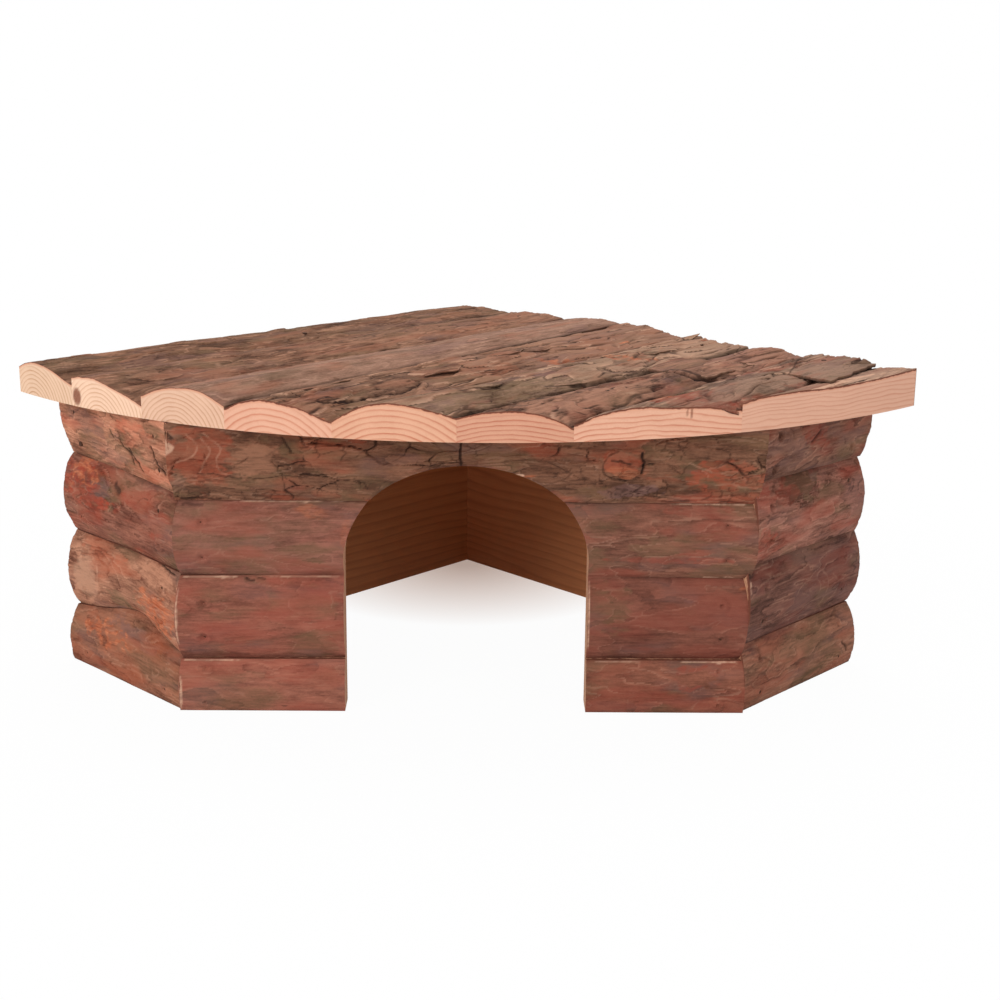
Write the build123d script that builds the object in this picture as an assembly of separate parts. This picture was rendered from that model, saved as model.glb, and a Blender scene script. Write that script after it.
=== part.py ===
from build123d import *
import math
import os

# A five-sided corner house for a hamster, in millimetres, +Z up.
# Seen from above it is a square with its front corner cut off at 45 degrees: two flat boards
# make the back corner, half logs with their bark on make the two short sides and the front,
# and eight bark slats nailed on top make the roof, sawn to one arc along the front.
#
# Four frames are used. Each has Z up and is a named Location below:
#   house   X to the right, Y to the back, the bark of the front wall touches Y = 0
#   corner  origin at the outer back corner, X along the right back wall, Y along the left one
#   walls   X along the wall as seen from outside, Y inwards, origin at the wall's left end
#   roof    as corner, but moved and turned a little, because the roof is nailed on askew

# ---- Walls
front_half_width = 128.9
side_run = 90.5
wall_height = 135.6
log_depth = 15.0
joint_recess = 6.0
front_joint_shares = (0.1792, 0.4712, 0.7316)
left_joint_shares = (0.2212, 0.4823, 0.7589)
right_joint_shares = (0.2264, 0.5103, 0.7906)
foot_crown_height = 8.0
top_crown_drop = 9.0

# ---- Doorway
door_half_width = 55.0
door_centre = 1.2
door_spring_height = 71.0
door_arch_rise = 46.0

# ---- Back boards
board_thickness = 19.0
board_inset = 4.0

# ---- Corner battens inside the two front corners
batten_leg = 18.0
batten_depth = 12.0

# ---- Roof
roof_left_overhang = 12.3
roof_right_overhang = 32.4
roof_arc_overhang = 26.5
roof_shift_x = -6.5
roof_shift_y = 3.6
roof_turn = -0.32
slat_width_shares = (0.1389, 0.1402, 0.1343, 0.1425, 0.1366, 0.1078, 0.1242)
slat_left_heights = (11.7, 12.8, 9.8, 8.3, 6.5, 10.4, 6.6, 12.6)
slat_middle_heights = (15.7, 13.0, 16.2, 14.1, 16.1, 13.6, 14.0, 16.7)
slat_right_heights = (9.4, 5.2, 9.8, 6.3, 10.2, 5.2, 9.7, 17.6)
slat_back_left_heights = (9.0, 10.2, 12.0, 14.6, 13.2, 12.8, 14.0, 14.2)
slat_back_middle_heights = (10.4, 12.8, 14.9, 14.2, 14.4, 15.2, 17.4, 16.2)
slat_back_right_heights = (10.2, 11.8, 14.6, 13.2, 12.6, 13.0, 15.6, 17.6)
last_slat_trim = 9.0

# ---- Brads
brad_radius = 0.7
brad_head_radius = 1.2
brad_head_thickness = 0.8
brad_hole_clearance = 0.05
brad_pair_half_gap = 8.0
batten_brad_length = 24.0
board_brad_length = 28.0
corner_brad_length = 34.0
roof_brad_grip = 14.0
front_brad_edge = 12.0
corner_brad_heights = (20.0, 50.0, 80.0, 110.0)
board_roof_brad_spots = (0.2, 0.5, 0.8)
side_roof_brad_spots = (0.25, 0.5, 0.75)

# ---- Places worked out from the sizes above
front_joints = [wall_height * share for share in front_joint_shares]
left_joints = [wall_height * share for share in left_joint_shares]
right_joints = [wall_height * share for share in right_joint_shares]
root_two = math.sqrt(2)
mitre_slope = math.tan(math.radians(22.5))
house_depth = front_half_width + side_run * root_two
back_run = (front_half_width + side_run / root_two) * root_two
board_centre = board_inset + board_thickness / 2
board_inner = board_inset + board_thickness
board_nail_line = board_inner - board_thickness / 3
log_back = back_run - log_depth
roof_left_leg = back_run + roof_left_overhang
roof_right_leg = back_run + roof_right_overhang
roof_arc_radius = back_run + roof_arc_overhang
slat_widths = [roof_right_leg * share for share in slat_width_shares]
overlap = 1.0

corner_frame = Location((0, house_depth, 0), (0, 0, -45))
front_frame = Location((-front_half_width, 0, 0))
left_frame = corner_frame * Location((0, -back_run, 0))
right_frame = Location((front_half_width, 0, 0), (0, 0, 45))
roof_frame = Location((roof_shift_x, house_depth + roof_shift_y, wall_height), (0, 0, -45 + roof_turn))


# ---- Half logs of the walls

def course_bounds(joints):
    """Lowest and highest edge of each course, from the floor to the roof."""
    edges = (0.0,) + tuple(joints) + (wall_height,)
    return list(zip(edges[:-1], edges[1:]))


def crown_circle(low, high):
    """Height of a log's fullest line and the radius of its bark.

    The foot log is sawn off below its fullest line, and the top log soon above it.
    """
    if low == 0:
        crown = foot_crown_height
    elif high == wall_height:
        crown = wall_height - top_crown_drop
    else:
        crown = (low + high) / 2
    reach = max(high - crown, crown - low)
    radius = (reach ** 2 + joint_recess ** 2) / (2 * joint_recess)
    return crown, radius


def bark_depth(low, high, height):
    """How far the bark lies behind the wall's outermost plane at a height."""
    crown, radius = crown_circle(low, high)
    return radius - math.sqrt(radius ** 2 - (height - crown) ** 2)


def half_log(low, high, plan):
    """A half log between two heights, cut to a plan: flat inside, sawn edges, round bark."""
    crown, radius = crown_circle(low, high)
    slab = Pos(log_depth / 2, (low + high) / 2) * Rectangle(log_depth, high - low)
    round_face = Pos(radius, crown) * Circle(radius)
    span = plan.bounding_box()
    bar = extrude(Plane.YZ.offset(span.min.X) * (slab & round_face), span.size.X)
    return bar & Pos(0, 0, low) * extrude(plan, high - low)


def front_plan():
    """The front wall from above, mitred at both ends."""
    back_off = log_depth * mitre_slope
    length = 2 * front_half_width
    corners = [(0, 0), (length, 0), (length - back_off, log_depth), (back_off, log_depth)]
    return make_face(Polyline(*corners, close=True))


def side_plan(mitre_at_right):
    """A side wall from above: mitred at the front corner, square at the back."""
    back_off = log_depth * mitre_slope
    left = 0 if mitre_at_right else back_off
    right = side_run - back_off if mitre_at_right else side_run
    corners = [(0, 0), (side_run, 0), (right, log_depth), (left, log_depth)]
    return make_face(Polyline(*corners, close=True))


def doorway():
    """The doorway's opening as a solid through the front wall: straight jambs, an oval arch."""
    middle = front_half_width + door_centre
    straight = Pos(middle, door_spring_height / 2) * Rectangle(2 * door_half_width, door_spring_height)
    foot = Pos(middle, 0) * Rectangle(2 * door_half_width, 2 * overlap)
    arch = Pos(middle, door_spring_height) * Ellipse(door_half_width, door_arch_rise)
    outline = straight + foot + arch
    return Pos(0, log_depth + overlap, 0) * extrude(Plane.XZ * outline, log_depth + 2 * overlap)


def front_wall():
    """The front courses, each parted by the doorway, and the one long log over it."""
    logs = {}
    opening = doorway()
    plan = front_plan()
    for number, (low, high) in enumerate(course_bounds(front_joints), start=1):
        log = half_log(low, high, plan) - opening
        pieces = log.solids().sort_by(Axis.X)
        if len(pieces) == 1:
            logs["front_lintel_log"] = front_frame * pieces[0]
        else:
            logs[f"front_left_log_{number}"] = front_frame * pieces[0]
            logs[f"front_right_log_{number}"] = front_frame * pieces[-1]
    return logs


def side_wall(side, frame, joints, mitre_at_right):
    """The four courses of a side wall."""
    plan = side_plan(mitre_at_right)
    logs = {}
    for number, (low, high) in enumerate(course_bounds(joints), start=1):
        logs[f"{side}_side_log_{number}"] = frame * half_log(low, high, plan)
    return logs


# ---- Boards and battens

def upright(frame, corners):
    """An upright piece as high as the walls, with a plan given by its corners in a frame."""
    return frame * extrude(make_face(Polyline(*corners, close=True)), wall_height)


def back_boards():
    """The left board runs past the right one, which butts against its inner face."""
    left = [(board_inset, -board_inset), (board_inner, -board_inset),
            (board_inner, -log_back), (board_inset, -log_back)]
    right = [(board_inner, -board_inset), (log_back, -board_inset),
             (log_back, -board_inner), (board_inner, -board_inner)]
    return {"left_back_board": upright(corner_frame, left),
            "right_back_board": upright(corner_frame, right)}


def corner_batten():
    """A five-sided batten in the left front corner, flat against the front and side logs."""
    start = Vector(log_depth * mitre_slope, log_depth)
    along_side = Vector(-1, 1).normalized()
    in_from_side = Vector(1, 1).normalized()
    front_end = start + Vector(batten_leg, 0)
    side_end = start + along_side * batten_leg
    corners = [start, front_end, front_end + Vector(0, batten_depth),
               side_end + in_from_side * batten_depth, side_end]
    return upright(front_frame, corners)


# ---- Roof slats

def slat_edges():
    """Distance of each joint between slats from the roof's left back edge."""
    edges = [0.0]
    for width in slat_widths:
        edges.append(edges[-1] + width)
    edges.append(roof_right_leg + last_slat_trim)
    return edges


def disc_centre():
    """Centre of the round saw cut along the front, which passes through both tips of the roof."""
    chord = math.hypot(roof_left_leg, roof_right_leg)
    away = math.sqrt(roof_arc_radius ** 2 - chord ** 2 / 4)
    return (roof_right_leg / 2 - away * roof_left_leg / chord,
            away * roof_right_leg / chord - roof_left_leg / 2)


def cut_reach(across):
    """How far the round cut lies in front of the back edge."""
    centre_x, centre_y = disc_centre()
    aside = min(abs(across - centre_x), roof_arc_radius)
    return math.sqrt(roof_arc_radius ** 2 - aside ** 2) - centre_y


def slat_back_profile(number):
    """Left edge, middle and right edge of a slat's bark at the back edge."""
    left, right = slat_edges()[number:number + 2]
    return (Vector(left, slat_back_left_heights[number]),
            Vector((left + right) / 2, slat_back_middle_heights[number]),
            Vector(right, slat_back_right_heights[number]))


def slat_bar_length(number):
    """Length of the bar that a slat is cut from, a little past the foremost point of the cut."""
    return cut_reach(slat_edges()[number]) + overlap


def slat_front_profile(number):
    """The same three points at the bar's front end.

    Each lies on the straight line from the back edge through the height given at the round cut.
    """
    length = slat_bar_length(number)
    heights = (slat_left_heights[number], slat_middle_heights[number], slat_right_heights[number])
    points = []
    for back, height in zip(slat_back_profile(number), heights):
        reach = max(cut_reach(back.X), length / 2)
        points.append(Vector(back.X, back.Y + (height - back.Y) * length / reach))
    return tuple(points)


def arc_height(profile, across):
    """Height of the circle through a profile's three points."""
    a, b, c = profile
    double_area = 2 * (a.X * (b.Y - c.Y) + b.X * (c.Y - a.Y) + c.X * (a.Y - b.Y))
    aa, bb, cc = [p.X ** 2 + p.Y ** 2 for p in (a, b, c)]
    centre_x = (aa * (b.Y - c.Y) + bb * (c.Y - a.Y) + cc * (a.Y - b.Y)) / double_area
    centre_y = (aa * (c.X - b.X) + bb * (a.X - c.X) + cc * (b.X - a.X)) / double_area
    radius = math.hypot(a.X - centre_x, a.Y - centre_y)
    return centre_y + math.sqrt(radius ** 2 - (across - centre_x) ** 2)


def slat_height(number, across, along):
    """Height of a slat's bark over its flat underside."""
    share = -along / slat_bar_length(number)
    back = arc_height(slat_back_profile(number), across)
    front = arc_height(slat_front_profile(number), across)
    return back + (front - back) * share


def roof_disc():
    """The round saw cut as a solid, taller than every slat."""
    height = 3 * max(slat_middle_heights)
    return Pos(*disc_centre(), height / 2 - overlap) * Cylinder(roof_arc_radius, height)


def slat_section(profile):
    """A slat's end: flat below, with an arc of bark above."""
    left, middle, right = profile
    bark = ThreePointArc(right, middle, left)
    sawn = Polyline(left, (left.X, 0), (right.X, 0), right)
    return make_face(bark + sawn)


def roof_slats():
    """The slats side by side, flat below and barked above, all cut to the disc."""
    disc = roof_disc()
    slats = {}
    for number in range(len(slat_middle_heights)):
        back = Plane.XZ * slat_section(slat_back_profile(number))
        front = Plane.XZ.offset(slat_bar_length(number)) * slat_section(slat_front_profile(number))
        bar = loft([back, front], ruled=True)
        slats[f"roof_slat_{number + 1}"] = roof_frame * (bar & disc)
    return slats


# ---- Brads: each is placed with its head at the origin and its point along -Z

def brad(length):
    shank = Pos(0, 0, -length / 2) * Cylinder(brad_radius, length)
    head = Pos(0, 0, -brad_head_thickness / 2) * Cylinder(brad_head_radius, brad_head_thickness)
    return shank + head


def brad_hole(length):
    clear = brad_hole_clearance
    shank = Pos(0, 0, -(length + clear) / 2) * Cylinder(brad_radius + clear, length + clear)
    head_top = Pos(0, 0, overlap / 2 - (brad_head_thickness + clear) / 2)
    return shank + head_top * Cylinder(brad_head_radius + clear, brad_head_thickness + clear + overlap)


def wall_brads(frame, joints, along, length):
    """A pair of brads in every course of a wall, at a distance along it."""
    spots = []
    for low, high in course_bounds(joints):
        for step in (-brad_pair_half_gap, brad_pair_half_gap):
            height = (low + high) / 2 + step
            place = Location((along, bark_depth(low, high, height), height), (90, 0, 0))
            spots.append((frame * place, length))
    return spots


def back_corner_brads():
    """Brads through the left board into the end of the right one."""
    place = [Location((board_inset, -board_centre, height), (0, -90, 0)) for height in corner_brad_heights]
    return [(corner_frame * spot, corner_brad_length) for spot in place]


def slat_brad_spots():
    """Points of the corner frame, over the walls, where the slats are nailed."""
    spots = [(board_nail_line, -back_run * share) for share in board_roof_brad_spots]
    side_line = back_run - log_depth / 2
    front_line = (house_depth - log_depth / 2) * root_two
    shift = (corner_frame.inverse() * roof_frame).position.X
    for number in range(1, len(slat_widths)):
        across = slat_back_profile(number)[1].X + shift
        if across < log_back:
            spots.append((across, -board_nail_line))
            spots.append((across, max(-side_line, across - front_line)))
    spots += [(side_line, -side_run * share) for share in side_roof_brad_spots]
    return spots


def slat_over(across):
    """Number of the slat that covers a distance from the roof's left back edge."""
    return sum(1 for edge in slat_edges()[1:-1] if edge < across)


def roof_brads():
    """Upright brads from the slats' bark into the tops of the walls."""
    spots = []
    for across, along in slat_brad_spots():
        over_wall = corner_frame * Location((across, along, 0))
        on_roof = (roof_frame.inverse() * over_wall).position
        height = slat_height(slat_over(on_roof.X), on_roof.X, on_roof.Y)
        place = Location((over_wall.position.X, over_wall.position.Y, wall_height + height))
        spots.append((place, height + roof_brad_grip))
    return spots


def all_brads():
    front_far = 2 * front_half_width - front_brad_edge
    side_far = side_run - front_brad_edge
    groups = {
        "front_brads": wall_brads(front_frame, front_joints, front_brad_edge, batten_brad_length)
        + wall_brads(front_frame, front_joints, front_far, batten_brad_length),
        "left_side_brads": wall_brads(left_frame, left_joints, board_centre, board_brad_length)
        + wall_brads(left_frame, left_joints, side_far, batten_brad_length),
        "right_side_brads": wall_brads(right_frame, right_joints, side_run - board_centre, board_brad_length)
        + wall_brads(right_frame, right_joints, front_brad_edge, batten_brad_length),
        "back_corner_brads": back_corner_brads(),
        "roof_brads": roof_brads(),
    }
    return groups


def drilled(piece, spots):
    """A piece with a hole for every brad that reaches it."""
    room = piece.bounding_box()
    for place, length in spots:
        hole = place * brad_hole(length)
        box = hole.bounding_box()
        apart = (box.min.X > room.max.X or box.max.X < room.min.X
                 or box.min.Y > room.max.Y or box.max.Y < room.min.Y
                 or box.min.Z > room.max.Z or box.max.Z < room.min.Z)
        if not apart:
            piece = piece - hole
    return piece


# ---- The house, piece by piece

wood = {}
wood.update(front_wall())
wood.update(side_wall("left", left_frame, left_joints, True))
wood.update(side_wall("right", right_frame, right_joints, False))
wood.update(back_boards())
wood["left_corner_batten"] = corner_batten()
wood["right_corner_batten"] = mirror(wood["left_corner_batten"], about=Plane.YZ)
wood.update(roof_slats())

brads = all_brads()
every_spot = [spot for spots in brads.values() for spot in spots]
pieces = {name: drilled(piece, every_spot) for name, piece in wood.items()}
for name, spots in brads.items():
    pieces[name] = Compound(children=[place * brad(length) for place, length in spots])

# The origin is on the floor, in the middle of the whole house.
solids = [solid for piece in pieces.values() for solid in piece.solids()]
whole = Compound(solids).bounding_box()
to_middle = Pos(-whole.center().X, -whole.center().Y, 0)

os.makedirs("parts", exist_ok=True)
for name, piece in pieces.items():
    export_step(to_middle * piece, f"parts/{name}.step")
print("size", [round(side, 2) for side in whole.size], "moved by", to_middle.position)
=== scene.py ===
import math

import bpy
import numpy as np
from mathutils import Matrix


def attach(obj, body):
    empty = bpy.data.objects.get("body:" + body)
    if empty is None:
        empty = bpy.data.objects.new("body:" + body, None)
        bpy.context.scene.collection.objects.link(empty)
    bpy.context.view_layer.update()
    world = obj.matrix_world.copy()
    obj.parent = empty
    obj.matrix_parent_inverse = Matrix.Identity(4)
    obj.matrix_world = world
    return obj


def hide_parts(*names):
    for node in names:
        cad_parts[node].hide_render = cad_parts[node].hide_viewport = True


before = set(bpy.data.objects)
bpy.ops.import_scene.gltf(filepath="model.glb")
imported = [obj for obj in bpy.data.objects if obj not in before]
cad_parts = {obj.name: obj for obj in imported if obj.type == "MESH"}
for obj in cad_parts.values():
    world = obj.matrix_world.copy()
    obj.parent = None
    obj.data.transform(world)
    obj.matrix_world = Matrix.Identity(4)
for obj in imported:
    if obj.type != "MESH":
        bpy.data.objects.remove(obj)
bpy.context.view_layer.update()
print("frame loaded,", len(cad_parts), "nodes")

# Shapes are worked out in millimetres in the house's own frame: X to the right, Y to the back,
# the bark of the front wall touches Y = 0. Frames for the walls and the roof are (origin, turn).
house = dict(toFrame=(0.559, -113.593, 0.0), wallTop=135.6, logDepth=15.0, recess=6.0, mitre=0.41421,
             mitreReach=30.0, sharpFrom=50)
frontFrame = ((-128.9, 0.0, 0.0), 0.0)
leftFrame = ((-192.89, 64.0, 0.0), -45.0)
rightFrame = ((128.9, 0.0, 0.0), 45.0)
roofFrame = ((-6.5, 260.49, house["wallTop"]), -45.32)


# Smooth noise, plates and small helpers

def ease(x):
    return x * x * x * (x * (x * 6 - 15) + 10)


def step(low, high, x):
    # From 0 below low to 1 above high, with a soft start and end
    t = np.clip((x - low) / (high - low), 0, 1)
    return t * t * (3 - 2 * t)


def lot(column, row, seed):
    # A repeatable share from 0 to 1 for every whole-numbered square
    mixed = (column.astype(np.int64) * 374761393 + row.astype(np.int64) * 668265263 + seed * 974711) & 0xFFFFFFFF
    mixed = ((mixed ^ (mixed >> 13)) * 1274126177) & 0xFFFFFFFF
    mixed = ((mixed ^ (mixed >> 16)) * 2246822519) & 0xFFFFFFFF
    return (mixed ^ (mixed >> 15)) / 4294967296.0


def drift(x, y, seed):
    # Smooth noise from about -1 to 1: a random slope at every whole point, blended between them
    column, row = np.floor(x), np.floor(y)
    dx, dy = x - column, y - row

    def corner(i, j):
        turn = lot(column + i, row + j, seed) * 2 * np.pi
        return np.cos(turn) * (dx - i) + np.sin(turn) * (dy - j)
    ex, ey = ease(dx), ease(dy)
    near = corner(0, 0) * (1 - ex) + corner(1, 0) * ex
    far = corner(0, 1) * (1 - ex) + corner(1, 1) * ex
    return 1.5 * (near * (1 - ey) + far * ey)


def drifts(x, y, seed, count, fall=0.5):
    # The same noise added up at twice the scale each time
    total, weight = 0, 1
    for level in range(count):
        total = total + weight * drift(x * 2 ** level + 7.3 * level, y * 2 ** level - 3.1 * level, seed + 31 * level)
        weight *= fall
    return total


def plates(x, y, seed, loose=0.9):
    # Cells round one loose point in every square: distance to the nearest border, the offset
    # from the cell's own point and the cell's lot
    column, row = np.floor(x), np.floor(y)
    best = np.full(x.shape, 9.0)
    second = best.copy()
    awayX, awayY, name = np.zeros(x.shape), np.zeros(x.shape), np.zeros(x.shape)
    for i in (-1, 0, 1):
        for j in (-1, 0, 1):
            px = column + i + 0.5 + loose * (lot(column + i, row + j, seed) - 0.5)
            py = row + j + 0.5 + loose * (lot(column + i, row + j, seed + 5) - 0.5)
            gap = (px - x) ** 2 + (py - y) ** 2
            nearer = gap < best
            second = np.where(nearer, best, np.minimum(second, gap))
            best = np.where(nearer, gap, best)
            awayX, awayY = np.where(nearer, x - px, awayX), np.where(nearer, y - py, awayY)
            name = np.where(nearer, lot(column + i, row + j, seed + 9), name)
    return np.sqrt(second) - np.sqrt(best), awayX, awayY, name


def toRoot(points, place):
    # From a wall's or the roof's own frame, in millimetres, to the part's frame, in metres
    (ox, oy, oz), turn = place
    c, s = math.cos(math.radians(turn)), math.sin(math.radians(turn))
    x, y, z = points
    moved = np.stack([ox + x * c - y * s, oy + x * s + y * c, oz + z], -1) + np.array(house["toFrame"])
    return moved / 1000


# Surfaces

attributeKinds = {1: ("FLOAT", "value"), 3: ("FLOAT_VECTOR", "vector"), 4: ("FLOAT_COLOR", "color")}


def blockSkin(shareA, shareB, shareC):
    # The outside of a lattice: for each outside point its shares a, b, c, and the quads of the six
    # sides turned outwards, the c = 1 side first
    counts = len(shareA), len(shareB), len(shareC)
    place = np.meshgrid(*[np.arange(n) for n in counts], indexing="ij")
    outside = np.any([(at == 0) | (at == n - 1) for at, n in zip(place, counts)], axis=0)
    i, j, k = (at[outside] for at in place)
    number = np.cumsum(outside).reshape(outside.shape) - 1

    def sheet(grid, inwards):
        quads = np.stack([grid[:-1, :-1], grid[1:, :-1], grid[1:, 1:], grid[:-1, 1:]], -1).reshape(-1, 4)
        return quads[:, ::-1] if inwards else quads
    sheets = [sheet(number[:, :, -1], False), sheet(number[:, :, 0], True), sheet(number[0], True),
              sheet(number[-1], False), sheet(number[:, 0], False), sheet(number[:, -1], True)]
    return (shareA[i], shareB[j], shareC[k]), sheets


def link(name, data):
    made = bpy.data.objects.new(name, data)
    bpy.context.scene.collection.objects.link(made)
    return made


def makePiece(name, points, sheets, finishes, attributes, node):
    # Puts a surface into Blender: one list of quads for each finish, smooth, sharp at sawn edges
    quads = np.concatenate([q for group in sheets for q in group])
    owner = np.concatenate([np.full(len(q), number) for number, group in enumerate(sheets) for q in group])
    mesh = bpy.data.meshes.new(name)
    mesh.vertices.add(len(points))
    mesh.vertices.foreach_set("co", points.astype(np.float32).ravel())
    mesh.loops.add(quads.size)
    mesh.loops.foreach_set("vertex_index", quads.astype(np.int32).ravel())
    mesh.polygons.add(len(quads))
    mesh.polygons.foreach_set("loop_start", np.arange(0, quads.size, 4, dtype=np.int32))
    mesh.update(calc_edges=True)
    mesh.polygons.foreach_set("material_index", owner.astype(np.int32))
    mesh.polygons.foreach_set("use_smooth", np.ones(len(quads), bool))
    for finish in finishes:
        mesh.materials.append(finish)
    for title, values in attributes.items():
        kind, field = attributeKinds[values.size // len(points)]
        mesh.attributes.new(title, kind, "POINT").data.foreach_set(field, values.astype(np.float32).ravel())
    mesh.validate()
    mesh.set_sharp_from_angle(angle=math.radians(house["sharpFrom"]))
    piece = link(name, mesh)
    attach(piece, "root")
    if node:
        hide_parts(node)


# Materials

def paint(red, green, blue):
    # A colour as it shows on a screen, 0 to 255, as the linear one that the sockets take
    share = np.array([red, green, blue]) / 255
    linear = np.where(share <= 0.04045, share / 12.92, ((share + 0.055) / 1.055) ** 2.4)
    return (*[float(v) for v in linear], 1.0)


class Finish:
    # A material, or the world, and short ways to add the nodes that the finishes share
    def __init__(self, name, kind="materials"):
        self.owner = getattr(bpy.data, kind).new(name)
        self.owner.use_nodes = True
        self.tree = self.owner.node_tree
        self.tree.nodes.clear()

    def node(self, kind, feeds=None, **settings):
        made = self.tree.nodes.new("ShaderNode" + kind)
        for key, value in settings.items():
            setattr(made, key, value)
        for key, value in (feeds or {}).items():
            if isinstance(value, bpy.types.NodeSocket):
                self.tree.links.new(value, made.inputs[key])
            else:
                made.inputs[key].default_value = value
        return made

    def attribute(self, title):
        return self.node("Attribute", attribute_name=title).outputs

    def noise(self, place, scale, detail, rough=0.55):
        moved = self.node("VectorMath", {0: place, 1: scale}, operation="MULTIPLY").outputs[0]
        feeds = {"Vector": moved, "Scale": 1.0, "Detail": detail, "Roughness": rough}
        return self.node("TexNoise", feeds).outputs[0]

    def maths(self, operation, first, second=0.5, clamp=False):
        return self.node("Math", {0: first, 1: second}, operation=operation, use_clamp=clamp).outputs[0]

    def add(self, first, second, clamp=False):
        return self.maths("ADD", first, second, clamp)

    def times(self, first, second, clamp=False):
        return self.maths("MULTIPLY", first, second, clamp)

    def span(self, value, low, high, toLow=0.0, toHigh=1.0):
        feeds = {"Value": value, "From Min": low, "From Max": high, "To Min": toLow, "To Max": toHigh}
        return self.node("MapRange", feeds, clamp=True).outputs[0]

    def mix(self, share, first, second, blend="MIX"):
        made = self.node("Mix", {0: share, 6: first, 7: second}, data_type="RGBA", blend_type=blend)
        return made.outputs[2]

    def ramp(self, value, stops):
        made = self.node("ValToRGB", {0: value})
        while len(made.color_ramp.elements) < len(stops):
            made.color_ramp.elements.new(0.5)
        for element, (place, colour) in zip(made.color_ramp.elements, stops):
            element.position = place
            element.color = colour
        return made.outputs[0]

    def greyRamp(self, value, levels):
        return self.ramp(value, [(place, (level, level, level, 1)) for place, level in levels])

    def seen(self):
        # 1 where the camera, a gloss or a clear material looks, 0 for light that only falls on things
        path = self.node("LightPath").outputs
        either = self.maths("MAXIMUM", path["Is Camera Ray"], path["Is Glossy Ray"])
        return self.maths("MAXIMUM", either, path["Is Transmission Ray"])

    def surface(self, colour, rough, height, distance, strength, gloss):
        bump = self.node("Bump", {"Height": height, "Distance": distance, "Strength": strength})
        feeds = {"Base Color": colour, "Roughness": rough, "Specular IOR Level": gloss, "Normal": bump.outputs[0]}
        shader = self.node("BsdfPrincipled", feeds)
        self.node("OutputMaterial", {"Surface": shader.outputs[0]})
        return self.owner


barkTones = dict(
    crack=paint(44, 27, 21), raw=paint(166, 78, 46), rawPale=paint(214, 136, 98),
    pale=paint(204, 160, 134), stain=paint(110, 86, 62), mauve=paint(116, 84, 78))


def barkFinish(name, dark, light, red):
    # Bark: tone from the plates with strokes along the grain, then brown-green, mauve and red places, bare
    # patches, pale lips of the layers, dark cracks that also hold painted shadows, and painted shade
    f = Finish(name)
    dark, light, red = paint(*dark), paint(*light), paint(*red)
    marks, moods = f.attribute("barkMarks"), f.attribute("barkMoods")
    mark, mood = (f.node("SeparateColor", {0: outputs["Color"]}).outputs for outputs in (marks, moods))
    grain = f.attribute("grainPlace")["Vector"]
    streak = f.noise(grain, (1.05, 0.085, 1.05), 5.0, 0.66)
    speck = f.noise(grain, (1.3, 0.6, 1.3), 5.0, 0.7)
    cloud = f.noise(grain, (0.13, 0.05, 0.13), 4.0, 0.6)
    tone = f.add(mark[2], f.span(streak, 0.28, 0.72, -0.30, 0.30))
    tone = f.add(tone, f.span(speck, 0.28, 0.72, -0.22, 0.22))
    tone = f.add(tone, f.span(cloud, 0.3, 0.7, -0.16, 0.16))
    middle = tuple(0.5 * (a + b) for a, b in zip(dark, light))
    base = f.ramp(tone, [(0.0, dark), (0.5, middle), (1.0, light)])
    for share, tint in ((mood[0], barkTones["stain"]), (moods["Alpha"], barkTones["mauve"]), (mood[1], red)):
        ragged = f.times(share, f.span(cloud, 0.3, 0.62, 0.45, 1.0), True)
        toned = f.mix(f.span(tone, 0.0, 1.0, 0.0, 0.5), tint, light)
        base = f.mix(ragged, base, toned)
    bare = f.mix(f.span(streak, 0.35, 0.7), barkTones["raw"], barkTones["rawPale"])
    base = f.mix(f.times(mark[1], f.span(speck, 0.3, 0.6, 0.5, 1.0), True), base, bare)
    base = f.mix(marks["Alpha"], base, barkTones["pale"])
    # Real cracks, and the painted shadows under layer lips and loose flakes, all take the crack colour
    base = f.mix(mark[0], base, barkTones["crack"])
    # Painted shade: the shade share darkens the colour down to 40 percent
    shade = f.span(mood[2], 0.0, 1.0, 1.0, 0.40)
    base = f.mix(1.0, base, f.node("CombineColor", {0: shade, 1: shade, 2: shade}).outputs[0], "MULTIPLY")
    height = f.add(f.times(streak, 0.6), f.times(speck, 0.6))
    return f.surface(base, f.span(speck, 0.3, 0.7, 0.8, 0.95), height, 0.0007, 0.6, 0.15)


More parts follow.
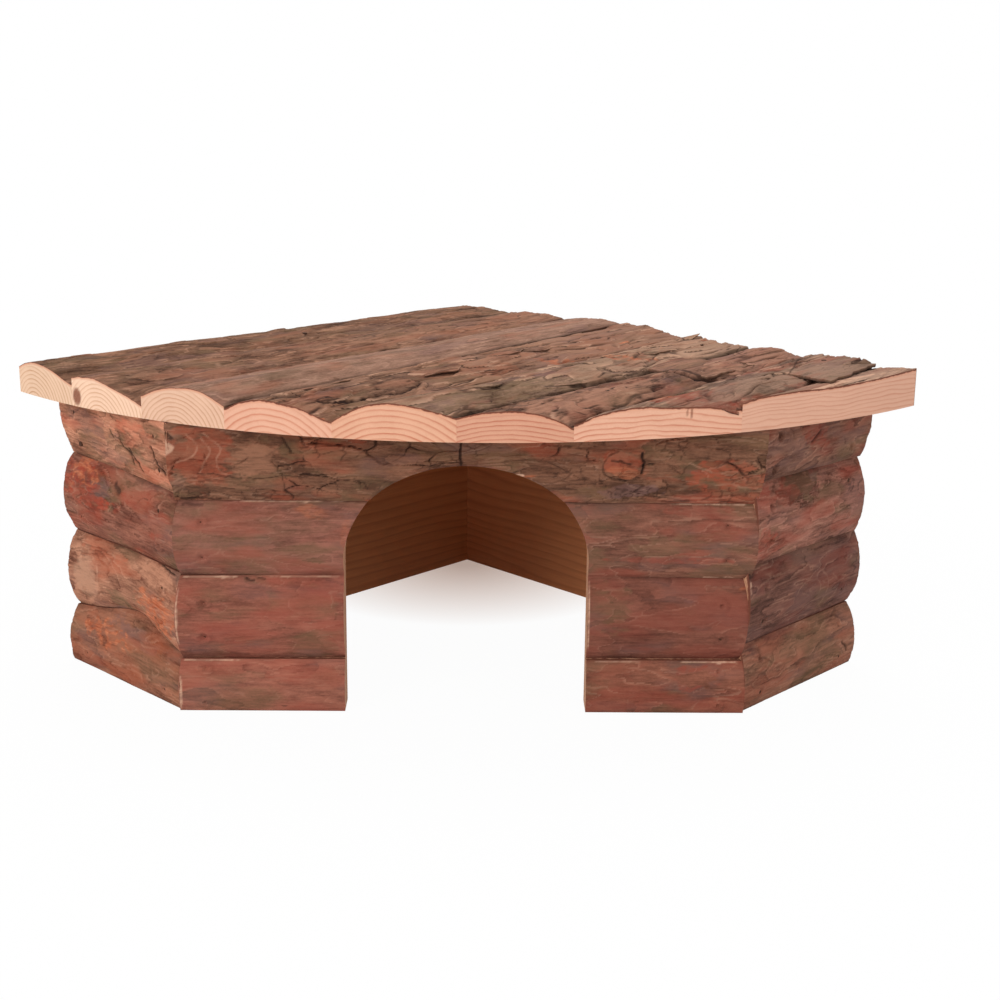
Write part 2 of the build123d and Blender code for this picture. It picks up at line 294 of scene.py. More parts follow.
def sawnFinish(name, pale, line, rim, spacing, rimDepth=1.6, skin=0.5, skinTint=(112, 62, 44), wander=0.5):
    # Sawn wood: growth rings round the pith, a warmer rim under the bark, the bark's own thin
    # edge (skin, in millimetres), fibres along the grain
    f = Finish(name)
    pale, line, rim = paint(*pale), paint(*line), paint(*rim)
    grain = f.attribute("grainPlace")["Vector"]
    under = f.attribute("underBark")["Fac"]
    parts = f.node("SeparateXYZ", {0: grain}).outputs
    wobble = f.noise(grain, (0.09, 0.02, 0.09), 2.0, 0.5)
    ripple = f.noise(grain, (0.5, 0.06, 0.5), 2.0, 0.5)
    flat = f.node("CombineXYZ", {0: parts[0], 2: parts[2]})
    away = f.node("VectorMath", {0: flat.outputs[0]}, operation="LENGTH").outputs["Value"]
    away = f.add(away, f.span(wobble, 0.2, 0.8, -wander, wander))
    away = f.add(away, f.span(ripple, 0.2, 0.8, -0.1, 0.1))
    ring = f.maths("FRACT", f.maths("DIVIDE", away, spacing))
    # Some rings are stronger than others, and no lines lie close under the bark
    turns = f.node("CombineXYZ", {0: f.times(away, 0.42 / spacing)}).outputs[0]
    strength = f.noise(turns, (1.0, 1.0, 1.0), 1.0)
    band = f.greyRamp(ring, ((0.0, 0.2), (0.1, 0.0), (0.45, 0.06), (0.68, 0.35), (0.82, 1.0), (0.92, 0.95), (1.0, 0.2)))
    dark = f.times(band, f.span(strength, 0.3, 0.62, 0.5, 1.0), True)
    dark = f.times(dark, f.span(under, 1.0, 3.4, 0.2, 1.0), True)
    fibre = f.noise(grain, (2.4, 0.12, 2.4), 4.0, 0.6)
    patch = f.noise(grain, (0.12, 0.03, 0.12), 3.0, 0.5)
    colour = f.mix(dark, pale, line)
    colour = f.mix(f.span(patch, 0.35, 0.7, 0.0, 0.35), colour, tuple(min(1, v * 1.12) for v in pale[:3]) + (1,))
    colour = f.mix(f.span(fibre, 0.35, 0.8, 0.0, 0.22), colour, line)
    colour = f.mix(f.span(under, 0.5, rimDepth, 0.6, 0.0), colour, rim)
    ragged = f.noise(grain, (0.3, 0.3, 0.3), 3.0, 0.6)
    ragged = f.add(under, f.span(ragged, 0.3, 0.7, -0.35 * skin, 0.35 * skin))
    colour = f.mix(f.span(ragged, 0.6 * skin, skin, 1.0, 0.0), colour, paint(*skinTint))
    knot = f.mix(f.span(fibre, 0.35, 0.7), paint(104, 48, 30), paint(150, 90, 62))
    colour = f.mix(f.attribute("sawnMark")["Fac"], colour, knot)
    height = f.add(f.times(fibre, 0.6), f.times(dark, -0.25))
    return f.surface(colour, 0.72, height, 0.0003, 0.35, 0.25)


def boardFinish(name, turn, pale, line):
    # Planed pine: long wavy lines from rings cut lengthwise; turn lays the X axis along the board
    f = Finish(name)
    pale, line = paint(*pale), paint(*line)
    place = f.node("TexCoord").outputs["Object"]
    place = f.node("Mapping", {"Vector": place, "Rotation": (0, 0, math.radians(turn)),
                               "Scale": (1000, 1000, 1000)}).outputs[0]
    wander = f.noise(place, (0.004, 0.012, 0.012), 2.0, 0.5)
    small = f.noise(place, (0.012, 0.12, 0.12), 3.0, 0.5)
    height = f.node("SeparateXYZ", {0: place}).outputs[2]
    away = f.add(height, f.span(wander, 0.2, 0.8, -12, 12))
    away = f.add(away, f.span(small, 0.2, 0.8, -1.8, 1.8))
    ring = f.maths("FRACT", f.maths("DIVIDE", away, 5.6))
    band = f.greyRamp(ring, ((0.0, 0), (0.55, 0.3), (0.8, 1), (1.0, 0)))
    fibre = f.noise(place, (0.05, 1.6, 1.6), 4.0, 0.6)
    colour = f.mix(f.times(band, 0.5), pale, line)
    colour = f.mix(f.span(fibre, 0.35, 0.75, 0.0, 0.4), colour, line)
    return f.surface(colour, 0.6, fibre, 0.0003, 0.25, 0.3)


# Bark: how far it stands out and how it is coloured, over a piece's own length and width. What a
# piece doesn't say comes from here: plates and layers in millimetres, the rest in shares
plainBark = dict(rough=0.5, crack=0.7, split=0.5, plate=(34, 10), plateRise=1.1, plateTone=1.0, gap=0.10, chips=0.2,
                 layers=2.2, layerLong=46, layerWide=13, layerRise=0.25, layerTone=0.35, lip=0.5, lipWide=0.9,
                 under=0.5, curl=0.4, lipToneAndShade=0.3, fine=0.14, raw=-0.2, red=0.0, stain=0.0, mauve=-0.1, marks=())
speckles = dict(red=0.5, raw=0.6, stain=0.3, pale=0.5)
# Noise over the bark: length and width in millimetres, seed step, number of levels
clouds = dict(bendAlong=(38, 15, 1, 3), bendAcross=(50, 18, 2, 3), bendFine=(7, 4, 3, 2), opened=(42, 11, 9, 2),
              rough=(60, 20, 12, 2), chips=(26, 9, 14, 3), splits=(50, 8, 18, 2), lips=(17, 7, 42, 2),
              under=(21, 8, 44, 2), fine=(9, 1.5, 25, 3), tone=(24, 7, 30, 3), raw=(34, 9, 33, 3),
              red=(44, 13, 36, 4), stain=(40, 15, 39, 4), mauve=(36, 13, 47, 3))


def ovalKind(kind):
    # An oval mark: its middle and half lengths, along and across the grain, and what else it needs
    return lambda s, q, long, wide, **more: dict(more, kind=kind, at=(s, q), size=(long, wide))


def lineKind(kind):
    # A line mark through several points
    return lambda *line, **more: dict(more, kind=kind, line=line)


plainAt, toneAt, liftAt = ovalKind("plain"), ovalKind("tone"), ovalKind("lift")
paleAt, stainAt, mauveAt, redAt, rawAt = (ovalKind(kind) for kind in ("pale", "stain", "mauve", "red", "raw"))
crackAlong, strokeAlong = lineKind("crack"), lineKind("stroke")


def ovalShare(s, q, mark, seed):
    # How much of an oval with a torn edge covers each point
    turn = math.radians(mark.get("turn", 0))
    ds, dq = s - mark["at"][0], q - mark["at"][1]
    along = (ds * math.cos(turn) + dq * math.sin(turn)) / mark["size"][0]
    across = (dq * math.cos(turn) - ds * math.sin(turn)) / mark["size"][1]
    torn = mark.get("torn", 0.5) * drifts(s / 9, q / 4.5, seed, 4)
    power = mark.get("power", 2.0)
    away = (np.abs(along) ** power + np.abs(across) ** power) ** (1 / power)
    speckle = mark.get("speckle", speckles.get(mark["kind"], 0.0))
    speckle = speckle * step(-0.15, 0.35, drifts(s / 5, q / 2.4, seed + 1, 3))
    if mark.get("veins"):         # only a net of thin strokes
        speckle = step(0.1, 0.4, np.abs(drifts(s / 8, q / 5, seed + 2, 3)))
    return (1 - step(0.75, 1, away + torn)) * (1 - speckle)


def rounded(points):
    # A line through several points with its corners cut off three times over
    for _ in range(3):
        ends = [np.array(p) for p in points]
        cut = [p for a, b in zip(ends[:-1], ends[1:]) for p in (0.75 * a + 0.25 * b, 0.25 * a + 0.75 * b)]
        points = [ends[0]] + cut + [ends[-1]]
    return points


def lineShare(s, q, points, wide, seed, torn=0.55):
    # How close each point is to a given line
    near = np.full(s.shape, 99.0)
    ragged = torn * drifts(s / 4, q / 3, seed, 2)
    for (s0, q0), (s1, q1) in zip(points[:-1], points[1:]):
        length = (s1 - s0) ** 2 + (q1 - q0) ** 2
        share = np.clip(((s - s0) * (s1 - s0) + (q - q0) * (q1 - q0)) / length, 0, 1)
        away = np.hypot(s - s0 - share * (s1 - s0) + ragged * 0.6, q - q0 - share * (q1 - q0) + ragged)
        near = np.minimum(near, away)
    return 1 - step(0.25 * wide, wide, near)


def layersOf(s, q, long, wide, amount, seed):
    # Thin layers that have flaked off one after the other: each is a terrace of a smooth hill.
    # Gives a layer's number, and the distances in millimetres from its own edge and to the next one
    def hill(x, y):
        return amount * drifts(x / long, y / wide, seed, 3, 0.45)
    here, aside, flattest = hill(s, q), 0.4, 0.04
    slope = np.maximum(np.hypot(hill(s + aside, q) - here, hill(s, q + aside) - here) / aside, flattest)
    layer = np.floor(here)
    return layer, (here - layer) / slope, (layer + 1 - here) / slope


def addMark(cover, s, q, mark, seed, number):
    # Lays one listed mark over the bark
    kind, strength, own = mark["kind"], mark.get("strength", 1.0), seed + 50 + number
    if kind == "stroke":          # a thin smooth curve, paler than what it crosses
        share = strength * lineShare(s, q, rounded(mark["line"]), mark.get("wide", 0.6), own, 0.4)
        share = share * (0.25 + 0.75 * step(-0.5, 0.4, drifts(s / 7, q / 5, seed + number, 2)))
        cover["tone"] = cover["tone"] + 0.3 * share
        cover["pale"] = np.maximum(cover["pale"], 0.22 * share)
    elif kind == "crack":
        line = rounded(mark["line"]) if mark.get("round") else mark["line"]
        share = strength * lineShare(s, q, line, mark.get("wide", 0.8), own)
        cover["crack"] = np.maximum(cover["crack"], share)
        cover["rise"] = cover["rise"] - mark.get("deep", 0.8) * share
    else:
        share = strength * ovalShare(s, q, mark, own)
        if kind == "plain":       # a smooth place, where everything else fades
            for key in ("crack", "raw", "pale", "stain", "red", "mauve"):
                cover[key] = cover[key] * (1 - share)
        elif kind in ("lift", "tone"):
            field, amount = ("rise", mark["rise"]) if kind == "lift" else ("tone", mark["by"])
            cover[field] = cover[field] + amount * share
        else:
            cover[kind] = np.maximum(cover[kind], share)


def barkCover(s, q, look):
    # s runs along the grain and q across it, in millimetres. The answer has rise in millimetres
    # and shares from 0 to 1 for the finish
    look = dict(plainBark, **look)
    seed = look["seed"]

    def cloud(name):
        long, wide, number, count = clouds[name]
        return drifts(s / long, q / wide, seed + number, count)
    ws = s + 6 * cloud("bendAlong")
    wq = q + 2.5 * cloud("bendAcross") + 0.3 * cloud("bendFine")
    long, wide = look["plate"]
    border, ds, dq, name = plates(ws / long, wq / wide, seed + 4)
    opened = step(-0.15, 0.45, cloud("opened"))
    rough = look["rough"] * (0.55 + 0.45 * step(-0.5, 0.3, cloud("rough")))
    gap = look["gap"]
    crack = (1 - step(gap * 0.25, gap * (0.5 + opened), border)) * (0.15 + 0.85 * opened) * look["crack"]
    plateRise = (name - 0.45) + 0.9 * dq * (name - 0.3) + 0.7 * ds * (0.6 - name)
    # In places each plate has chips, smaller by these two shares
    shareLong, shareWide = 0.36, 0.42
    border, _, dq, chipLot = plates(ws / (long * shareLong), wq / (wide * shareWide), seed + 5)
    chip = step(0.45, 0.75, cloud("chips") + look["chips"])
    chink = (1 - step(0.03, 0.16, border)) * chip * look["crack"]
    # Long splits along the grain
    aside, flattest = 0.4, 0.05
    split, beside = (drifts(ws / 75, across / 5.2, seed + 16, 2) for across in (wq, wq + aside))
    slope = np.maximum(np.abs(beside - split) / aside, flattest)
    split = (1 - step(0.12, 0.55, np.abs(split) / slope)) * look["split"]
    split = split * step(0.05, 0.45, cloud("splits"))
    layer, inside, ahead = layersOf(ws, wq, look["layerLong"], look["layerWide"], look["layers"], seed + 20)
    seen = step(-0.35, 0.35, cloud("lips"))
    pale = look["lip"] * seen * (1 - step(0.35 * look["lipWide"], look["lipWide"], inside))
    # Painted shadow: a dark band on a layer just before the next layer's edge, where that higher lip would shade it
    under = look["under"] * step(-0.2, 0.4, cloud("under")) * (1 - step(0.25, 0.9, ahead))
    # Lighter just inside a layer's edge where its lip shows; where it doesn't, painted shade just before the next
    # layer's edge
    lipToneAndShade = look["lipToneAndShade"] * (seen * np.exp(-inside / 1.5) - np.exp(-ahead / 1.5) * (1 - seen))
    fine = cloud("fine")
    layerLot = lot(layer, layer * 0, seed + 27)
    rise = rough * (look["plateRise"] * plateRise + 0.45 * chip * (chipLot - 0.5 + dq * 0.7))
    edge = 1 - np.exp(-inside / 0.3) + look["curl"] * (np.exp(-inside / 3) - np.exp(-inside / 0.5))
    rise = rise + look["layerRise"] * (layer + edge) + 0.07 * fine
    rise = rise - np.maximum(crack, 0.8 * split) - 0.35 * chink * rough
    tone = 0.5 + 0.32 * (name - 0.5) * look["plateTone"] + look["layerTone"] * (layerLot - 0.5)
    tone = tone + look["fine"] * fine + 0.22 * cloud("tone") + lipToneAndShade
    raw = step(0.55, 0.75, cloud("raw") + look["raw"] + 0.25 * (0.5 - name))
    red = step(-0.1, 0.7, cloud("red") + 0.5 * (layerLot - 0.5) + look["red"]) * 0.8
    stain = step(0.0, 0.6, cloud("stain") + 0.4 * (chipLot - 0.5) + look["stain"]) * 0.7
    mauve = step(0.0, 0.6, cloud("mauve") + look["mauve"]) * 0.6
    # Cracks, splits and chinks, with the painted shadow under the lips, all go to the crack colour
    dark = np.maximum(np.maximum(crack, split), np.maximum(0.65 * chink, under))
    cover = dict(rise=rise, crack=dark, raw=raw * (1 - 0.5 * chip), tone=tone, pale=pale, stain=stain, red=red,
                 mauve=mauve)
    for number, mark in enumerate(look["marks"]):
        addMark(cover, s, q, mark, seed, number)
    return cover


def coverAttributes(cover, shade, grainPlace, underBark, sawnMark):
    # All that the finishes read at a point
    cover = dict(cover, shade=shade)
    marks, moods = (np.stack([np.clip(cover[key], 0, 1) for key in keys], -1)
                    for keys in (("crack", "raw", "tone", "pale"), ("stain", "red", "shade", "mauve")))
    return dict(barkMarks=marks, barkMoods=moods, grainPlace=np.stack(grainPlace, -1), underBark=underBark,
                sawnMark=sawnMark)


# Roof slats. edges: where they meet, across the roof; disc: middle and radius of the round saw cut; relief: how far
# the bark may stand out; edge, calmEnd, fade, shadeWide: widths over which relief, grooves and shade come and go

roof = dict(edges=(0, 42.39, 85.18, 126.17, 169.66, 211.34, 244.24, 282.15, 305.12), disc=(6.2, 14.2, 299.25),
            columnStep=0.52, rowStep=0.76, levels=13, rim=(200, 122, 88), relief=1.8, edge=1.6, calmEnd=5.0, fade=7.0,
            shadeWide=2.6, flakeStep=0.5, flakeSeed=600)
# A slat: its outlines at the round cut and at the back edge, the middle of its growth rings, its colours and
# its bark. Marks have their distance from the back edge first, then their distance across the roof
curlyLook = dict(rough=0.75, crack=0.7, split=0.9, layers=2.4, layerRise=0.5, layerLong=64, layerWide=17,
                 plate=(48, 13), chips=-0.1, curl=1, under=1, lip=0.55)
slats = [dict(      # slat 1
    outline=((0, 11.7), (0.09, 13.8), (0.23, 15.6), (0.36, 16), (0.49, 15.6), (0.63, 14.5), (0.77, 12.7), (0.96, 9.8),
        (1, 9.4)),
    back=((0, 8.6), (0.15, 9.8), (0.5, 10.6), (1, 10.2)),
    pith=(0.3, -6), spacing=2, groove=0.6, valleyShade=0.35, wood=((228, 192, 163), (192, 143, 108)),
    bark=((80, 52, 36), (158, 114, 89), (134, 84, 62)),
    look=dict(seed=101, rough=0.6, crack=0.5, split=0.6, raw=-0.4, stain=0.05, layers=2.6, lip=0.25, marks=[
        toneAt(240, 12, 14, 5, by=0.5), plainAt(240, 12, 14, 5)])), dict(      # slat 2
    outline=((0, 12.8), (0.1, 14), (0.22, 14.5), (0.37, 14.3), (0.53, 12.7), (0.77, 9.7), (0.96, 6.4), (1, 5.2)),
    back=((0, 10.2), (0.25, 12), (0.5, 12.9), (0.8, 12.4), (1, 11.8)),
    pith=(0.4, -5), spacing=1.9, groove=0.6, valleyShade=0.35, backTone=0.2, wood=((238, 200, 172), (204, 152, 118)),
    bark=((78, 50, 36), (164, 118, 93), (144, 88, 66)), sawnMarks=[(45.6, 4.6, 3, 4.4, 0.9)],
    look=dict(seed=102, rough=0.5, crack=0.4, split=0.6, raw=-0.4, layers=2.4, lip=0.25, marks=[
        crackAlong((92, 47), (75, 58), (60, 66), (40, 67), wide=0.8, deep=0.7),
        redAt(205, 78, 26, 4, strength=0.7)])), dict(      # slat 3
    outline=((0, 9.9), (0.13, 12.6), (0.24, 14.3), (0.38, 15.6), (0.61, 16.4), (0.72, 15.7), (0.83, 14), (0.94, 11.6),
        (1, 9.8)),
    back=((0, 12), (0.25, 13.6), (0.6, 15.3), (0.9, 15.2), (1, 14.6)),
    pith=(0.42, -6), spacing=1.9, groove=0.6, valleyShade=0.25, backTone=0.15, wood=((223, 182, 155), (190, 136, 105)),
    bark=((108, 76, 59), (182, 139, 117), (156, 96, 72)),
    look=dict(seed=103, rough=0.12, crack=0.1, split=0.3, raw=-0.6, stain=-0.2, layers=1.2, lip=0.2, under=0.3,
              plateTone=0.4, chips=-0.4, plateRise=0.4, layerTone=0.2, marks=[
        redAt(246, 98, 15, 3.5), redAt(205, 100, 30, 2.5, strength=0.5),
        crackAlong((60, 100), (20, 104), wide=0.9, deep=0.6)])), dict(      # slat 4
    outline=((0, 8.5), (0.05, 10.4), (0.13, 12.1), (0.26, 13.7), (0.37, 14.2), (0.48, 14.1), (0.71, 11.9),
        (0.92, 8.1), (1, 6.5)),
    back=((0, 14.6), (0.3, 14.9), (0.6, 14.2), (0.9, 13.5), (1, 13.2)),
    pith=(0.42, -15), spacing=2.6, groove=0.9, backTone=0.85, wood=((224, 172, 145), (196, 118, 88)),
    bark=((64, 40, 29), (166, 122, 97), (142, 84, 62)),
    look=dict(curlyLook, seed=104, raw=-0.35, stain=0.1, marks=[
        plainAt(70, 131, 56, 7, strength=0.7), toneAt(70, 131, 56, 7, by=0.12),
        crackAlong((240, 127.5), (236, 135), (234, 145), (230, 144), wide=0.8, deep=0.6),
        crackAlong((243, 145), (234, 146), wide=0.9, deep=0.8),
        crackAlong((235, 155), (225, 159), (209, 160), (187, 161), (174, 157), wide=0.9, deep=0.8),
        stainAt(225, 160, 22, 7, strength=0.7), toneAt(215, 150, 30, 8, by=-0.25),
        rawAt(91, 164, 11, 5, turn=-45, strength=0.7, speckle=0.9), redAt(128, 158, 20, 6),
        toneAt(40, 150, 42, 18, by=0.25), mauveAt(45, 145, 30, 9, strength=0.6)])), dict(      # slat 5
    outline=((0, 6.5), (0.07, 9.3), (0.15, 11.7), (0.25, 14), (0.36, 15.5), (0.48, 16.1), (0.69, 14.9), (0.8, 13.4),
        (1, 10.3)),
    back=((0, 13.2), (0.2, 14.3), (0.45, 14.8), (0.7, 13.6), (1, 12.6)),
    pith=(0.47, -18), spacing=2.4, groove=1, valleyShade=0.4, backTone=0.45, wood=((222, 170, 140), (192, 114, 84)),
    bark=((72, 47, 35), (184, 145, 119), (142, 88, 66)),
    look=dict(curlyLook, seed=105, split=0.8, raw=-0.35, stain=0.3, marks=[
        # Partly a real groove, partly painted shade: the dark valley between slats 5 and 6
        crackAlong((204, 211), (186, 210.6), (160, 210.4), (130, 210), (100, 210.2), (62, 210.6), wide=2.2, deep=1.8),
        crackAlong((170, 199), (178, 206), wide=0.7, deep=0.6),
        rawAt(70, 191, 14, 5, turn=-45, strength=0.75, speckle=0.8), redAt(62, 184, 12, 4, turn=-45),
        plainAt(165, 200, 40, 9, strength=0.7), stainAt(172, 198, 45, 12), toneAt(30, 190, 34, 18, by=0.25),
        mauveAt(120, 190, 14, 6)])), dict(      # slat 6
    outline=((0, 10.4), (0.13, 12), (0.25, 13), (0.53, 13.6), (0.7, 12.4), (0.81, 10.6), (0.9, 8.4), (1, 5.2)),
    back=((0, 12.8), (0.25, 14.6), (0.55, 15.4), (0.8, 13.6), (1, 13)),
    pith=(0.46, -32), spacing=2, groove=1, backTone=0.5, wood=((212, 158, 130), (182, 104, 78)),
    bark=((56, 36, 27), (168, 121, 98), (144, 84, 65)),
    look=dict(curlyLook, seed=106, rough=0.6, crack=0.6, raw=-0.7, stain=-0.1, red=0.15, layerRise=0.45, under=0.9,
              lip=0.5, marks=[
        # Partly a real groove, partly painted shadow: the dark line under the free side of this slat's big flake
        crackAlong((80, 213), (81, 226), (78, 236), (68, 242), wide=2.6, deep=1.8),
        mauveAt(34, 220, 26, 13, strength=0.7), plainAt(160, 224, 50, 10, strength=0.8),
        toneAt(190, 219, 60, 5, by=-0.15), toneAt(142, 231, 52, 11, by=0.45), toneAt(30, 228, 34, 14, by=0.25),
        toneAt(100, 233, 16, 9, by=-0.3)])), dict(      # slat 7
    outline=((0, 6.7), (0.14, 10.7), (0.31, 13.2), (0.48, 14.1), (0.67, 12.9), (0.77, 12.6), (0.86, 11.9), (1, 9.7)),
    back=((0, 14), (0.2, 16.2), (0.5, 17.6), (0.8, 17.2), (1, 15.6)),
    pith=(0.45, -42), spacing=2.2, groove=0.8, wander=1.3, backTone=0.3, wood=((228, 176, 148), (198, 122, 94)),
    bark=((54, 35, 27), (154, 120, 100), (150, 64, 46)),
    sawnMarks=[(271, 10.6, 0.26, 1.9, 0.55), (271.9, 10.3, 0.3, 2.4, 0.7), (271.5, 8.1, 0.7, 0.35, 0.5)],
    look=dict(curlyLook, seed=107, raw=-0.7, stain=0.1, layers=2.6, marks=[
        redAt(118, 258, 24, 9, turn=-20), rawAt(124, 253, 12, 3, strength=0.5), plainAt(80, 270, 38, 9, strength=0.7),
        plainAt(60, 273, 16, 7), toneAt(60, 273, 16, 7, by=0.35), toneAt(80, 273, 38, 9, by=0.15),
        # The crack on this line and the next one are partly real grooves, partly painted shadows: slat 6's big flake's
        # shadow running on across the valley, and the shadow along this slat's loose plate
        toneAt(78, 263, 36, 2.2, by=0.5), crackAlong((76, 244.5), (75, 252), (73, 259), wide=1.6, deep=1.4),
        crackAlong((66, 262), (50, 262), (46, 268), (48, 278), wide=0.8, deep=0.7),
        mauveAt(100, 265, 20, 6, strength=0.5)])), dict(      # slat 8
    outline=((0, 12.6), (0.13, 14.6), (0.24, 15.2), (0.45, 16), (0.64, 15.4), (0.87, 16.1), (1, 17.4)),
    back=((0, 14.2), (0.5, 16.2), (1, 17.6)),
    pith=(0.5, -70), spacing=1.9, groove=0.6, wander=2.2, wood=((220, 170, 144), (200, 138, 112)),
    bark=((100, 68, 52), (196, 156, 132), (150, 96, 76)),
    look=dict(seed=108, rough=0.2, crack=0.2, split=0.4, raw=-0.5, layers=1.4, lip=0.3, marks=[
        paleAt(42, 294.6, 26, 1.7, speckle=0.1), crackAlong((66, 297), (50, 298.6), (30, 299.6), wide=0.7, deep=0.4),
        toneAt(20, 297, 34, 8, by=0.3)]))]


def outlineHeight(share, points):
    # Height over a slat's flat underside: straight pieces through the points, rounded by averaging
    xs, zs = zip(*points)
    shifts = (-0.045, -0.02, 0.0, 0.02, 0.045)
    return sum(np.interp(share + d, xs, zs) for d in shifts) / len(shifts)


def frontEnd(u):
    # Where the round saw cut crosses a slat, by its distance across the roof
    discU, discT, radius = roof["disc"]
    return discT - np.sqrt(radius ** 2 - np.minimum(np.abs(u - discU), radius - 0.01) ** 2)


def slatTop(number, u, t):
    # Height of a slat's bark, and its bark cover, at points across (u) and along (t) the roof. The
    # outline at the round cut turns into the one at the back edge in straight lines
    spec = slats[number]
    left, right = roof["edges"][number:number + 2]
    share = (u - left) / (right - left)
    front = np.minimum(frontEnd(u), -1.0)
    blend = np.clip(t / front, 0, 1)
    height = blend * outlineHeight(share, spec["outline"]) + (1 - blend) * outlineHeight(share, spec["back"])
    edge = step(0.0, roof["edge"], np.minimum(u - left, right - u))
    back = t - front
    height = height + 0.5 * drifts(t / 45, u / 60, spec["look"]["seed"] + 70, 2) * edge * step(0, 25, back)
    cover = barkCover(-t, u, spec["look"])
    rear = spec.get("backTone", 0.0) * (1 - blend) ** 2
    cover["tone"] = cover["tone"] + rear
    cover["mauve"] = cover["mauve"] + 0.8 * rear
    # Painted shadow: a dark line, a little offset, along the free side of each loose flake on this slat, in the crack
    # colour
    for flake in flakes:
        if flake["slat"] == number + 1:
            free = [flake["corners"][at][:2] for at in (0, 3)]
            shadow = lineShare(-t - 0.4, u - 0.4, free, flake.get("gap", 1.0), 40)
            cover["crack"] = np.maximum(cover["crack"], 0.8 * shadow)
    rise = np.clip(cover["rise"], -roof["relief"], roof["relief"])
    calm = 0.3 + 0.7 * step(0, roof["calmEnd"], back)
    return height + rise * calm * (0.35 + 0.65 * edge), cover


def makeSlat(number):
    # A slat from the back edge to the round cut: a runs across in equal arcs of the cut, b from
    # the cut to the back edge, c from the flat underside to the bark
    spec = slats[number]
    left, right = roof["edges"][number:number + 2]
    discU, _, radius = roof["disc"]
    turns = np.arcsin(np.clip((np.array([left, right]) - discU) / radius, -1, 1))
    columns = int(round((turns[1] - turns[0]) * radius / roof["columnStep"]))
    across = (discU + radius * np.sin(np.linspace(turns[0], turns[1], columns + 1)) - left) / (right - left)
    rows = int(round(-frontEnd(np.array([left]))[0] / roof["rowStep"]))
    (a, b, c), sheets = blockSkin(across, np.linspace(0, 1, rows + 1), np.linspace(0, 1, roof["levels"]))
    u = left + a * (right - left)
    near = np.minimum(frontEnd(u), -0.3)
    t = near * (1 - b)
    height, cover = slatTop(number, u, t)
    back = t - near
    # The sides draw in a little towards the bark, so that a groove parts two slats
    side = np.where(a < 0.5, 1, -1) * (np.abs(2 * a - 1) ** 12)
    ragged = 1 + 0.5 * drifts(t / 12, u / 90, spec["look"]["seed"] + 80, 2)
    groove = spec["groove"] * step(0.5, 1.0, c) * step(0, roof["fade"], back) * ragged
    points = toRoot((u + side * np.maximum(groove, 0), t, c * height), roofFrame)
    # The bark runs on down both sides, and the two outermost sides lie in no valley
    sides = (a == 0) | (a == 1)
    below = np.where(a < 0.5, -1, 1) * (1 - c) * height
    _, sideCover = slatTop(number, (u + below)[sides], t[sides])
    for key in cover:
        cover[key][sides] = sideCover[key]
    first, last, farOff = number == 0, number == len(slats) - 1, 9
    edge = np.minimum(farOff if first else u - left, farOff if last else right - u)
    outer = (a == 0) & first | (a == 1) & last
    # Painted shade: darker in the valleys between slats, towards the underside on the sides, and along the right edge
    # by the valleyShade share
    shade = (1 - step(0.0, roof["shadeWide"], edge)) * (0.35 + 0.5 * step(0, roof["fade"], back))
    shade = shade + (1 - c) * np.where(outer, 0.1, 0.4)
    shade = shade + spec.get("valleyShade", 0.0) * (1 - step(0, 7, right - u)) * step(0, 9, back)
    sawnMark = np.zeros(a.shape)
    for markU, markUp, wide, tall, strength in spec.get("sawnMarks", []):
        away = np.hypot((u - markU) / wide, (c * height - markUp) / tall)
        sawnMark = np.maximum(sawnMark, strength * (1 - step(0.7, 1.1, away)) * (back < 2))
    pithU, pithUp = left + spec["pith"][0] * (right - left), spec["pith"][1]
    attributes = coverAttributes(cover, shade, [u - pithU, t, c * height - pithUp], (1 - c) * height, sawnMark)
    name = f"roofSlat{number + 1}"
    sawn = sawnFinish(name + "Sawn", *spec["wood"], roof["rim"], spec["spacing"],
                      skin=0.35 if number < 3 else 0.8, wander=spec.get("wander", 0.5))
    spec["finishes"] = [barkFinish(name + "Bark", *spec["bark"]), sawn]
    # Bark: top and both long sides; sawn: underside, round cut and back end
    groups = [[sheets[0], sheets[2], sheets[3]], [sheets[1], sheets[4], sheets[5]]]
    makePiece(name, points, groups, spec["finishes"], attributes, f"roof_slat_{number + 1}")


